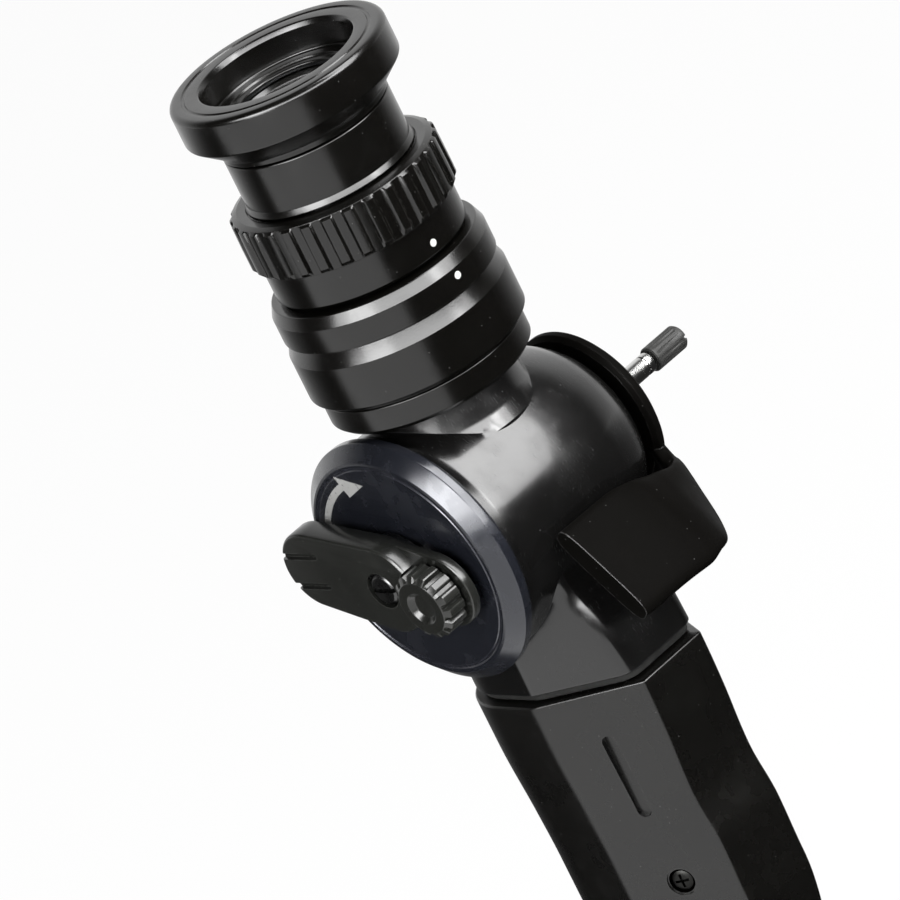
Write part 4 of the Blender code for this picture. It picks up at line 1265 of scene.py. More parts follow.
    def ring(self) -> None:
        """Dioptre ring with its ribbed band, smooth skirt and cam groove."""
        radius, bottom = self.ring_radius, self.skirt_bottom
        top, foot = self.ring_top, self.rib_bottom
        drops = (0.4, 0.55, 0.7, 4.0, 7.2, 7.35, 7.5)
        profile = [
            (radius - 0.85, top, 0.2), (radius, top - 0.3, 0.1),
            *[(radius, top - drop) for drop in drops], (radius, foot, 0.1),
            (self.skirt_radius, foot - 0.3, 0.1), (self.skirt_radius, bottom + 0.6, 0.25),
            (14.2, bottom, 0.2), (11.3, bottom, 0.1), (11.3, 45.2), (12.9, 45.2), (12.9, 51.4),
            (11.3, 51.4), (11.3, top - 0.2, 0.2), (13.0, top - 0.2, 0.1), (13.3, top, 0.1),
        ]
        ring = turned("dioptre_ring_ribbed", profile, segments=self.rib_count * 16, form=self.rib)
        self.hang(ring, Dye.PLASTIC, "black_plastic", ["dioptre_ring"], body="dioptre")

    def barrel(self) -> None:
        """Ocular barrel, body ring and the parts that close them inside."""
        radius, top, bottom = self.barrel_radius, self.barrel_top, self.barrel_bottom
        profile = [
            (radius - 1.0, top, 0.25), (radius - 0.25, top - 1.8, 0.3),
            (radius - 0.25, self.groove_top, 0.15), (radius - 0.95, self.groove_top - 0.25, 0.15),
            (radius, self.groove_top - 2.6, 0.3), (radius, bottom + 0.8, 0.4),
            (radius - 0.9, bottom, 0.3), (12.6, bottom, 0.1), (12.3, 38.8), (11.3, 38.8),
            (11.3, top, 0.2),
        ]
        self.hang(
            turned("ocular_barrel_turned", profile), Dye.PLASTIC, "black_plastic", ["ocular_barrel"]
        )
        profile = [
            (12.3, 27.4, 0.2), (12.3, 24.7), (15.7, 24.7, 0.15), (15.7, 21.2, 0.3),
            (15.0, 20.5, 0.3), (12.7, 20.5, 0.1), (12.7, 23.5), (9.5, 23.5), (9.5, 27.4, 0.2),
        ]
        self.hang(turned("body_ring_turned", profile), Dye.PLASTIC, "black_plastic", ["body_ring"])
        self.keep(Dye.BRASS_Z, "tube_lock_ring")
        self.keep(Dye.ALUMINIUM, "ferrule_holder")
        self.keep(Dye.STEEL_Z, "image_guide_ferrule")
        self.keep(Dye.FIBRE, "image_guide")

    def marks(self) -> None:
        """Index dots on the dioptre ring's skirt and on the barrel."""
        for name, radius, height, body in (
            ("dioptre_index_dot", self.skirt_radius, 43.0, "dioptre"),
            ("barrel_index_dot", self.barrel_radius - 0.25, 37.6, "root"),
        ):
            dome = [
                (0.0, -radius - 0.1), (0.55, -radius - 0.06, 0.08), (0.62, 0.2 - radius),
                (0.0, 0.2 - radius),
            ]
            dot = turned(name, dome, Axis.Y, 32, (0.0, 0.0, height))
            self.hang(dot, Dye.PAINT, "black_plastic", body=body)


@dataclass
class Head(Assembly):
    """Drum, neck and inlet in one housing, with the drives inside it."""

    drum_radius: float = 18.8
    drum_left: float = -14.2
    drum_right: float = 20.3
    neck_width: float = 13.4
    neck_bottom: float = -25.2
    neck_wall: float = 1.8
    collar_radius: float = 12.4
    inlet_height: float = -16.0
    pulley_side: float = 7.5
    wire_offset: float = 6.95

    def build(self) -> None:
        """Make the housing and dress the drives."""
        self.housing()
        self.inlet()
        self.keep(Dye.ALUMINIUM, "chassis")
        self.keep(Dye.STEEL_X, "lever_axle", "lever_shaft", "wing_axle", "wing_shaft")
        self.keep(Dye.BRASS_X, "lever_pulley", "wing_pulley")
        self.keep(Dye.DARK_STEEL_X, "lever_bush", "wing_bush")
        wires = {
            "wire_up": (self.pulley_side, -self.wire_offset),
            "wire_down": (self.pulley_side, self.wire_offset),
            "wire_left": (-self.pulley_side, -self.wire_offset),
            "wire_right": (-self.pulley_side, self.wire_offset),
        }
        for name, (x, y) in wires.items():
            strands = StrandedWire(f"{name}_strands", (x * MM, y * MM))
            dress(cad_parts[name], strands.material())

    def drum_profile(self) -> Profile:
        """Drum's outer curve, crowned and rounded off at the lever's end.

        Returns:
            The profile, from the disc's end to the lever's.
        """
        keys = (
            (0.0, 0.965), (0.02, 0.99), (0.05, 1.0), (0.42, 1.0), (0.65, 0.965), (0.79, 0.895),
            (0.89, 0.80), (0.965, 0.68), (1.0, 0.56),
        )
        length = self.drum_right - self.drum_left
        middle = [0.2 + 0.05 * i for i in range(12)]
        shares = [0.0, 0.02, 0.05, 0.1, 0.15, *middle, 0.84, 0.88, 0.91, 0.94, 0.965, 0.985, 1.0]
        body = [(self.drum_radius * through(keys, s), self.drum_left + length * s) for s in shares]
        return [(0.0, self.drum_left), *body, (0.0, self.drum_right)]

    def section(
        self, front: float, half_front: float, side_front: float, inset: float, rounding: float
    ) -> list[Pair]:
        """Outline of the neck: a faceted front and an elliptic back.

        Args:
            front: how far the front lies from the axis.
            half_front: half the front facet's width.
            side_front: where the flanks' straight part begins.
            inset: how far the outline is drawn in.
            rounding: radius of its corners.

        Returns:
            The outline's points.
        """
        side = self.neck_width - inset
        depth = GRIP_HALF_DEPTH * self.neck_width / GRIP_HALF_WIDTH - inset
        half = half_front - inset / 2
        shape = Facets(front - inset, half, side, side_front, depth, rounding, rounding * 1.4, 6)
        return shape.outline()

    def neck(self, inset: float, bottom: float, top: float = -5.0) -> list[Loop]:
        """Sections of the neck.

        Args:
            inset: how far they are drawn in.
            bottom: height of the first.
            top: height of the last, inside the drum.

        Returns:
            The sections.
        """
        fronts = ((-25.5, 21.2), (-20.0, 20.4), (-15.0, 18.8), (-11.0, 17.2), (-5.0, 16.8))
        halves = ((-25.5, 6.9), (-20.0, 7.2), (-11.0, 8.0), (-5.0, 8.2))
        sides = ((-25.5, 5.8), (-11.0, 6.2), (-5.0, 6.5))
        loops = []
        for step in range(13):
            height = bottom + (top - bottom) * step / 12
            sizes = (through(keys, height) for keys in (fronts, halves, sides))
            outline = self.section(*sizes, inset, 0.3 if inset else 3.2)
            loops.append([(x, y, height) for x, y in outline])
        return loops

    def housing(self) -> None:
        """One hollow moulding: drum, collar, neck and inlet boss."""
        housing = turned("head_housing_drum", self.drum_profile(), Axis.X, 160)
        radius = self.collar_radius
        collar = [
            (0.0, 23.2), (radius, 23.2, 0.3), (radius, 20.7, 0.1), (radius - 0.9, 20.3, 0.3),
            (radius + 0.2, 15.8, 5.0), (radius + 1.1, 13.5, 0.3), (radius + 1.1, 9.4), (0.0, 9.4),
        ]
        boss = [(0.0, 16.2), (6.1, 16.2, 0.4), (6.1, 9.5), (0.0, 9.5)]
        port = [(0.0, 17.5), (3.5, 17.5), (3.5, 2.8), (0.0, 2.8)]
        weld(
            housing,
            lofted("neck_body", self.neck(0.0, self.neck_bottom)),
            turned("collar_body", collar, segments=96),
            turned("inlet_boss", boss, Axis.Y, 64, (0.0, 0.0, self.inlet_height)),
        )
        room = [(0.0, 13.0), (15.4, 13.0), (15.4, -12.2), (0.0, -12.2)]
        bore = [(0.0, 24.2), (8.0, 24.2), (8.0, 0.0), (0.0, 0.0)]
        cross = [(0.0, 21.3), (5.8, 21.3), (5.8, -15.2), (0.0, -15.2)]
        carve(
            housing,
            turned("drum_room", room, Axis.X, 64),
            lofted("neck_room", self.neck(self.neck_wall, self.neck_bottom - 0.3, -5.0)),
            turned("collar_bore", bore, segments=64),
            turned("bush_bore", cross, Axis.X, 64),
            turned("inlet_port", port, Axis.Y, 48, (0.0, 0.0, self.inlet_height)),
        )
        self.hang(housing, Dye.ENAMEL, "gloss_black", ["head_housing"])

    def inlet(self) -> None:
        """Light guide inlet: a grooved post on the neck's back."""
        profile = [
            (4.6, 31.5, 0.7), (4.6, 28.5, 0.15), (3.9, 27.8, 0.15), (3.9, 26.0, 0.15),
            (4.6, 25.3, 0.15), (4.6, 18.4, 0.2), (5.6, 18.3, 0.3), (5.6, 16.5, 0.2), (2.1, 16.5),
            (2.1, 31.0, 0.2), (2.5, 31.5, 0.15),
        ]
        flats = [
            plate(f"spanner_flat_{side}", slab(4.25 * side, 19.2, 7.0 * side, 22.4), -26.0, -6.0)
            for side in (-1, 1)
        ]
        post = turned("light_guide_post", profile, Axis.Y, 96, (0.0, 0.0, self.inlet_height))
        self.hang(carve(post, *flats), Dye.STEEL_INLET, "steel", ["light_guide_inlet"])
        self.keep(Dye.FIBRE, "light_guide_bundle")


@dataclass
class SideControls(Assembly):
    """Side disc, lobed wing and lock knob on the drum's left end."""

    disc_radius: float = 20.0
    face_radius: float = 17.7
    face: float = -18.5
    rim: float = -16.5
    back: float = -14.5
    wing_back: float = -20.0
    wing_face: float = -24.2
    arm_face: float = -21.6
    lobe: Triple = (13.3, 3.0, 6.3)
    lock_centre: Pair = (-9.3, -1.6)
    lock_radius: float = 4.9
    lock_ribs: int = 14
    arrow_radius: float = 15.0
    arrow_width: float = 1.15
    arrow_sweep: Pair = (10.0, 67.0)
    arrow_head: float = 19.0

    def build(self) -> None:
        """Make the disc and what turns on it."""
        self.disc()
        self.arrow()
        self.wing()
        self.lock()
        self.keep(Dye.DARK_STEEL_X, "friction_washer")

    def disc(self) -> None:
        """Disc with a broad bevelled rim and a step inside it."""
        radius, inner = self.disc_radius, self.face_radius
        profile = [
            (radius - 0.6, self.back, 0.2), (radius, self.back - 0.7, 0.2),
            (radius, self.rim, 0.25), (inner + 0.15, self.face + 0.1, 0.15),
            (inner - 0.25, self.face, 0.1), (inner - 0.6, self.face, 0.05),
            (inner - 0.7, self.face + 0.15, 0.05), (inner - 1.0, self.face + 0.15, 0.05),
            (inner - 1.1, self.face + 0.02, 0.05), (8.6, self.face + 0.02, 0.05),
            (8.5, self.face, 0.05), (5.8, self.face, 0.1), (5.8, self.back, 0.1),
        ]
        self.hang(
            turned("side_disc_bevelled", profile, Axis.X, 192), Dye.DISC, "disc_finish", ["side_disc"]
        )

    def arrow(self) -> None:
        """Painted arrow on the disc that shows which way the wing turns."""
        radius, width = self.arrow_radius, self.arrow_width
        start, end = (math.radians(angle) for angle in self.arrow_sweep)
        arc = [start + (end - start) * step / 24 for step in range(25)]
        outer = [((radius + width / 2) * math.cos(a), (radius + width / 2) * math.sin(a)) for a in arc]
        inner = [
            ((radius - width / 2) * math.cos(a), (radius - width / 2) * math.sin(a))
            for a in reversed(arc)
        ]
        tip = end + math.radians(self.arrow_head)
        barbs = ((1.9, end), (-0.9, tip), (-1.9, end))
        head = [((radius + rise) * math.cos(a), (radius + rise) * math.sin(a)) for rise, a in barbs]
        mark = plate(
            "wing_direction_arrow", outer + head + inner, self.face - 0.06, self.face + 0.1, FACING_X
        )
        self.hang(mark, Dye.ARROW, "disc_finish")

    def wing(self) -> None:
        """Lobed wing with a countersunk screw."""
        arm = belt((0.0, 0.0, 6.9), (*self.lock_centre, 6.0))
        body = belt((0.0, 0.0, 7.2), self.lobe)
        wing = plate("wing_knob_body", body, self.wing_face, self.wing_back - 0.1, FACING_X)
        softened(wing, 0.6)
        y, z, radius = self.lobe
        grooves = []
        for side in (-1, 1):
            middle = z + side * radius * 0.4
            outline = belt((y - radius / 3 + 0.5, middle, 0.5, 16), (y + 2 * radius, middle, 0.5, 16))
            low, high = self.wing_face - 1.0, self.wing_face + 0.8
            grooves.append(plate(f"lobe_groove_{side}", outline, low, high, FACING_X))
        carve(wing, *grooves)
        lower = softened(plate("wing_arm", arm, self.arm_face, self.wing_back, FACING_X), 0.3)
        weld(wing, lower)
        lock_y, lock_z = self.lock_centre
        scallop = circle(lock_y, lock_z, self.lock_radius + 0.7)
        pinhole = circle(lock_y, lock_z, 1.7, 32)
        shaft = circle(0.0, 0.0, 3.3, 48)
        shank = circle(0.0, 0.0, 1.8, 32)
        head = circle(0.0, 0.0, 2.9, 48)
        carve(
            wing,
            plate("lock_scallop", scallop, self.wing_face - 1.0, self.arm_face, FACING_X),
            plate("spindle_hole", pinhole, self.wing_face - 1.0, self.wing_back + 1.0, FACING_X),
            plate("shaft_bore", shaft, -21.5, self.wing_back + 1.0, FACING_X),
            plate("shank_hole", shank, self.wing_face - 1.0, self.wing_back + 1.0, FACING_X),
            plate("screw_recess", head, self.wing_face - 1.0, -22.4, FACING_X),
        )
        self.hang(wing, Dye.WING, "black_plastic", ["wing_knob"], body="wing", sharp=28.0)
        screw = [
            (0.0, self.wing_face + 0.02), (2.1, self.wing_face + 0.1, 0.3),
            (2.6, self.wing_face + 0.5, 0.2), (2.6, -22.7, 0.1), (1.5, -22.7), (1.5, self.face),
            (0.0, self.face),
        ]
        slot = plate("screw_slot", slab(-4.0, -0.35, 4.0, 0.35), -25.0, -23.4, FACING_X)
        head = carve(turned("wing_screw_slotted", screw, Axis.X, 64), slot)
        self.hang(head, Dye.DARK_STEEL_X, "steel", ["wing_screw"], body="wing")

    def knob_rib(self, radius: float, height: float, angle: float) -> float:
        """Radius of the lock knob's ribbed flank.

        Args:
            radius: the profile's radius.
            height: the height.
            angle: the angle round the knob.

        Returns:
            The radius with its rib.
        """
        if radius < self.lock_radius - 0.1 or not -25.6 < height < -22.2:
            return radius
        share = (angle / (2 * math.pi) * self.lock_ribs) % 1.0
        rise = max(0.0, min(1.0, (0.3 - abs(share - 0.5)) / 0.12 + 0.5))
        return radius - 0.45 + 0.8 * rise

    def lock(self) -> None:
        """Ribbed lock knob with a dished face."""
        radius = self.lock_radius
        low, high = -26.0, -21.9
        flank = [(radius, x) for x in (-25.4, -25.2, -25.0, -24.0, -23.0, -22.6, -22.4)]
        profile = [
            (0.0, low + 0.9), (1.9, low + 0.75, 0.3), (2.6, low, 0.3), (4.2, low, 0.35), *flank,
            (4.4, high, 0.2), (1.4, high), (1.4, -18.8, 0.3), (0.0, -18.8),
        ]
        y, z = self.lock_centre
        knob = turned(
            "lock_knob_ribbed", profile, Axis.X, self.lock_ribs * 16, (0.0, y, z), self.knob_rib
        )
        self.hang(knob, Dye.WING, "black_plastic", ["lock_knob"], body="lock")


@dataclass
class ThumbSide(Assembly):
    """Thumb lever with its hub and cap, and the vent post on the drum's axis."""

    hub_start: float = 20.9
    hub_end: float = 23.7
    hub_radius: float = 13.5
    paddle: Triple = (-6.6, -24.9, -8.6)
    half_length: float = 8.6
    half_thickness: float = 1.8
    slope: float = math.radians(53)
    tip_rounding: float = 0.9
    sections: int = 56
    form: tuple[tuple[float, ...], ...] = (
        (0.0, 0.08, 7.6, 0.90, 0.25, 0.0, 1.25), (0.0, 0.38, 1.1, 0.66, 0.25, 0.0, 1.25),
        (1.6, 0.60, -4.0, 0.66, 0.25, 0.3, 1.5), (5.0, 0.80, -3.6, 0.74, 0.55, 0.62, 1.6),
        (9.8, 0.95, -1.8, 0.86, 1.0, 0.86, 1.7), (14.4, 1.0, -0.8, 0.97, 1.0, 1.0, 1.8),
        (19.0, 1.0, -0.2, 1.0, 1.0, 1.0, 1.8),
    )

    def build(self) -> None:
        """Make the lever, its cap and the vent."""
        self.lever()
        self.cap()
        self.vent()

    def stations(self) -> list[tuple[Vector, Vector, Vector]]:
        """Find where the lever's form is set.

        Returns:
            The lever's centre, half width and half thickness at each place.
        """
        _, y, z = self.paddle
        slope = Vector((0, -math.cos(self.slope), -math.sin(self.slope)))
        outward = Vector((0, -math.sin(self.slope), math.cos(self.slope)))
        side, down = Vector((1, 0, 0)), Vector((0, 0, -1))
        middle = (self.hub_start + self.hub_end) / 2
        stations = []
        for inset, reach, rise, length, lean, turn, thickness in self.form:
            across = down.lerp(slope, lean).normalized() * self.half_length * length
            deep = side.lerp(outward, turn).normalized() * thickness
            stations.append((Vector((middle - inset, reach * y, z + rise)), across, deep))
        stations.append((Vector(self.paddle), slope * self.half_length, outward * self.half_thickness))
        return stations

    @staticmethod
    def oblong(centre: Vector, across: Vector, through_it: Vector, count: int = 56) -> Loop:
        """Rounded oblong section of the lever.

        Args:
            centre: its centre.
            across: half its width.
            through_it: half its thickness.
            count: how many points it has.

        Returns:
            The section's points.
        """
        loop = []
        for index in range(count):
            angle = 2 * math.pi * (index + 0.5) / count
            c, s = math.cos(angle), math.sin(angle)
            wide = math.copysign(abs(c) ** 0.45, c)
            deep = math.copysign(abs(s) ** 0.6, s)
            loop.append(tuple(centre + across * wide + through_it * deep))
        return loop

    def lever(self) -> None:
        """One moulding: hub, arm that curls round the drum's end, and wide paddle."""
        stations = self.stations()
        columns = [(column, axis) for column in zip(*stations) for axis in range(3)]
        keys = [
            [(float(i), vector[axis]) for i, vector in enumerate(column)] for column, axis in columns
        ]
        loops = []
        steps, tip = self.sections, self.tip_rounding
        for step in range(steps + 1):
            where = (len(stations) - 1) * step / steps
            values = [through(key, where) for key in keys]
            loops.append(self.oblong(*(Vector(values[start : start + 3]) for start in (0, 3, 6))))
        centre, across, thick = stations[-1]
        for angle in range(15, 91, 15):
            turn = math.radians(angle)
            drawn = 1 - math.cos(turn)
            past = centre + Vector((-tip * math.sin(turn) + tip, 0, 0))
            wide = across - across.normalized() * tip * drawn
            loops.append(
                self.oblong(past - Vector((tip, 0, 0)), wide, thick - thick.normalized() * tip * drawn)
            )
        lever = lofted(
            "thumb_lever_arm", [[(max(x, self.paddle[0]), y, z) for x, y, z in loop] for loop in loops]
        )
        hub = [
            (0.0, self.hub_end), (12.1, self.hub_end, 0.5),
            (self.hub_radius, self.hub_end - 1.05, 0.5),
            (self.hub_radius, self.hub_start + 0.7, 0.3), (12.8, self.hub_start, 0.2),
            (0.0, self.hub_start),
        ]
        weld(lever, turned("lever_hub", hub, Axis.X, 128))
        bore = plate(
            "lever_bore", circle(0.0, 0.0, 3.3, 48), self.hub_start - 1.0, self.hub_end + 1.0, FACING_X
        )
        self.hang(
            carve(lever, bore), Dye.LEVER, "black_plastic", ["thumb_lever"], body="lever", sharp=40.0
        )

    def cap(self) -> None:
        """Hub cap with a turned step and two spanner holes."""
        profile = [
            (0.0, 25.5), (3.2, 25.5, 0.05), (3.3, 25.4, 0.05), (3.6, 25.4, 0.05), (3.7, 25.5, 0.05),
            (5.15, 25.5, 0.3), (5.5, 25.1, 0.2), (5.5, 24.0, 0.15), (0.0, 24.0),
        ]
        holes = [
            plate(f"cap_hole_{side}", circle(4.4 * side, 0.0, 0.4, 24), 24.9, 26.0, FACING_X)
            for side in (-1, 1)
        ]
        self.hang(
            carve(turned("hub_cap_turned", profile, Axis.X, 96), *holes),
            Dye.CAP_ENAMEL,
            "gloss_black",
            ["hub_cap"],
        )

    @staticmethod
    def knurl(radius: float, height: float, angle: float) -> float:
        """Radius of the vent cap's fluted flank.

        Args:
            radius: the profile's radius.
            height: the height.
            angle: the angle round the cap.

        Returns:
            The radius with its flutes.
        """
        if radius < 1.95 or not 36.6 < height < 41.2:
            return radius
        return radius - 0.12 * max(0.0, math.cos(angle * 12))

    def vent(self) -> None:
        """Polished vent post and its fluted cap."""
        post = [
            (0.0, 35.4), (1.6, 35.4, 0.2), (1.6, 34.2, 0.05), (1.45, 34.05, 0.05),
            (1.45, 33.8, 0.05), (1.6, 33.65, 0.05), (1.6, 26.9, 0.4), (2.8, 26.5, 0.2),
            (2.8, 25.8, 0.1), (0.0, 25.8),
        ]
        self.hang(turned("vent_post", post, Axis.X, 64), Dye.STEEL_X, "steel", ["vent_stem"])
        flank = [(2.0, x) for x in (41.3, 41.1, 39.0, 36.7, 36.5)]
        cap = [
            (0.0, 42.2), (1.7, 42.2, 0.25), (2.0, 41.8, 0.1), *flank, (2.0, 35.9, 0.1), (1.8, 35.7),
            (0.0, 35.7),
        ]
        slot = plate("vent_cap_slot", slab(-3.0, -0.3, 3.0, 0.3), 41.6, 43.0, FACING_X)
        cap_piece = carve(turned("vent_cap_fluted", cap, Axis.X, 96, form=self.knurl), slot)
        self.hang(cap_piece, Dye.VENT_CAP, "black_plastic", ["vent_cap"], body="vent")


@dataclass
class Grip(Assembly):
    """Seal, faceted hand grip with its grooves and screws, end ring and gland."""

    top: float = -26.8
    bottom: float = -108.0
    fronts: tuple[Pair, ...] = (
        (0.0, 22.4), (0.7, 22.4), (8.0, 22.1), (20.0, 21.1), (28.0, 22.0), (38.0, 21.6), (82.0, 21.6)
    )
    widths: tuple[Pair, ...] = ((0.0, 14.2), (8.0, 14.2), (20.0, 13.7), (28.0, 13.5), (82.0, 13.5))
    half_front: float = 6.4
    side_front: float = 5.6
    wall: float = 2.0
    end_radius: float = 11.4
    groove_height: float = -41.0
    screw_height: float = -59.5
    edge: float = 0.3
    groove_reach: float = 6.0
    groove_half: float = 1.1
    screw_hole: float = 2.0
    screw_sink: float = 2.25
    mouth: Triple = (10.9, 13.4, 11.4)
    foot_lines: Triple = (-109.6, -110.4, -111.2)
    gland_radius: float = 9.6
    gland_end: float = 7.3

    def build(self) -> None:
        """Make the grip from its seal down to the gland."""
        self.seal()
        self.cover()
        self.screws()
        self.end_ring()
        self.gland()

    def outline(self, front: float, width: float, inset: float, rounding: float) -> list[Pair]:
        """Outline of the grip before it rounds off.

        Args:
            front: how far the front facet lies from the axis.
            width: how far the sides lie from the axis.
            inset: how far the outline is drawn in.
            rounding: radius of the front corners.

        Returns:
            The outline's points.
        """
        side = width - inset
        depth = GRIP_HALF_DEPTH * width / GRIP_HALF_WIDTH - inset
        half = self.half_front - inset / 2
        shape = Facets(front - inset, half, side, self.side_front, depth, rounding, rounding * 5, 5)
        return shape.outline()

    def section(self, height: float, inset: float, rounding: float = 0.9) -> Loop:
        """Section of the grip.

        Args:
            height: where it lies.
            inset: how far it is drawn in.
            rounding: radius of its front corners.

        Returns:
            The section's points.
        """
        down = self.top - height
        blend = through(((0.0, 0.0), (38.0, 0.0), (54.0, 0.3), (69.0, 0.75), (81.2, 1.0)), down)
        grow = through(((0.0, 1.13), (54.0, 1.13), (69.0, 1.06), (81.2, 1.0)), down)
        radius = (self.end_radius - inset) * grow
        loop = []
        outline = self.outline(through(self.fronts, down), through(self.widths, down), inset, rounding)
        for x, y in outline:
            share = 1 - blend + blend * radius / math.hypot(x, y)
            loop.append((x * share, y * share, height))
        return loop

    def neck_loop(self, height: float) -> Loop:
        """Mouth of the grip under the neck.

        Args:
            height: where it lies.

        Returns:
            As many points as a section has.
        """
        shell = self.section(self.top - self.wall, self.wall)
        loop = []
        for x, y, _ in shell:
            side, front, back = self.mouth
            share = min(1.0, side / max(abs(x), 1e-6), (front if y < 0 else back) / max(abs(y), 1e-6))
            loop.append((x * share, y * share, height))
        return loop

    def cover(self) -> None:
        """Hand grip as a sleeve, with a groove and a screw hole on each canted facet."""
        edge, wall = self.edge, self.wall
        loops = []
        for angle in (0, 22, 45, 68, 90):
            turn = math.radians(angle)
            drop = edge * (1 - math.sin(math.pi / 2 - turn))
            loops.append(self.section(self.top - drop, edge * (1 - math.sin(turn))))
        heights = [self.top - 2.0 - step * 1.6 for step in range(49)]
        loops += [self.section(height, 0.0) for height in heights]
        loops.append(self.section(self.bottom + 0.4, 0.0))
        loops.append(self.section(self.bottom, 0.35))
        loops.append(self.section(self.bottom, wall))
        inner = [self.bottom + step * 3.1 for step in range(1, 25)]
        loops += [self.section(height, wall, 0.4) for height in (*inner, self.top - wall)]
        loops += [self.neck_loop(height) for height in (self.top - wall, self.top)]
        grip = lofted("hand_grip_cover", loops, closed=True)
        reach, half = self.groove_reach, self.groove_half
        groove = belt((0.0, reach, half), (0.0, -reach, half))
        hole = circle(0.0, 0.0, self.screw_hole, 48)
        sink = circle(0.0, 0.0, self.screw_sink, 48)
        for side in (-1, 1):
            high = self.facet(side, self.groove_height)
            low = self.facet(side, self.screw_height)
            carve(
                grip,
                plate(f"grip_groove_{side}", groove, -0.9, 2.0, high),
                plate(f"screw_hole_{side}", hole, -6.0, 3.0, low),
                plate(f"screw_sink_{side}", sink, -0.3, 3.0, low),
            )
        self.hang(grip, Dye.GRIP, "black_plastic", ["grip_cover"], sharp=28.0)

    def facet(self, side: int, height: float) -> Matrix:
        """Axes on the middle of a canted facet.

        Args:
            side: -1 for the left facet and 1 for the right one.
            height: where they lie.

        Returns:
            Axes across the facet, up it and outward, and their place.
        """
        down = self.top - height
        front = Vector((side * self.half_front, -through(self.fronts, down), 0))
        flank = Vector((side * through(self.widths, down), -self.side_front, 0))
        across = (flank - front).normalized() * side
        up = Vector((0, 0, 1))
        outward = across.cross(up)
        middle = (front + flank) / 2 + up * height
        rows = [(across[i], up[i], outward[i], middle[i]) for i in range(3)]
        return Matrix((*rows, (0, 0, 0, 1)))

    def screws(self) -> None:
        """Cover screws, each with a domed head and a crossed slot."""
        for side, name in ((-1, "left"), (1, "right")):
            place = self.facet(side, self.screw_height)
            rings = ((1.55, -2.0), (1.7, -1.85), (1.7, -0.75), (1.6, -0.55), (1.3, -0.4), (0.8, -0.3))
            loops = [
                [tuple(place @ Vector((a, b, depth))) for a, b in circle(0.0, 0.0, radius, 48)]
                for radius, depth in rings
            ]
            head = lofted(f"cover_screw_{name}", loops)
            bars = [
                plate(f"cross_{name}_{index}", slab(-a, -b, a, b), -1.1, 0.5, place)
                for index, (a, b) in enumerate(((1.1, 0.2), (0.2, 1.1)))
            ]
            self.hang(carve(head, *bars), Dye.DARK_STEEL, "steel", [f"grip_screw_{name}"])

    def seal(self) -> None:
        """Gasket between the neck and the grip."""
        neck = Head()
        shape = (21.2, 6.9, 5.8)
        levels = (
            (-25.5, 0.85), (-25.65, 0.7), (-26.35, 0.7), (-26.5, 0.85), (-26.5, 2.8), (-25.5, 2.8)
        )
        loops = [
            [(x, y, height) for x, y in neck.section(*shape, inset, 3.2)] for height, inset in levels
        ]
        self.hang(lofted("neck_gasket", loops, closed=True), Dye.RUBBER, "rubber", ["grip_seal"])

    def end_ring(self) -> None:
        """Metal ring at the grip's foot with three turned lines."""
        radius = self.end_radius
        lines = []
        for height in self.foot_lines:
            lines += [(radius, height + 0.12), (radius - 0.12, height, 0.03), (radius, height - 0.12)]
        profile = [
            (radius, -108.3, 0.2), *lines, (radius, -112.3, 0.3), (radius - 0.7, -113.0, 0.3),
            (7.0, -113.0, 0.2), (7.0, -108.3, 0.2),
        ]
        self.hang(turned("grip_foot_ring", profile), Dye.ALUMINIUM, "aluminium", ["grip_end_ring"])

    def gland(self) -> None:
        """Tapered rubber gland with shallow bending grooves."""
        wide, narrow = self.gland_radius, self.gland_end
        slope = (wide - narrow) / (123.3 - 115.3)
        profile = [(wide, -113.3, 0.3), (wide, -115.3, 0.4)]
        for step in range(4):
            height = -116.7 - 1.6 * step
            radius = wide - slope * (-115.3 - height)
            profile += [
                (radius + 0.1, height + 0.35, 0.12), (radius - 0.45, height + 0.2, 0.12),
                (radius - 0.55, height - 0.2, 0.12), (radius - 0.1, height - 0.35, 0.12),
            ]
        profile += [(narrow, -123.3, 0.3), (6.6, -124.0, 0.3), (3.7, -124.0, 0.5), (3.7, -113.3, 0.2)]
        self.hang(turned("tube_gland_ribbed", profile), Dye.RUBBER, "rubber", ["insertion_tube_gland"])


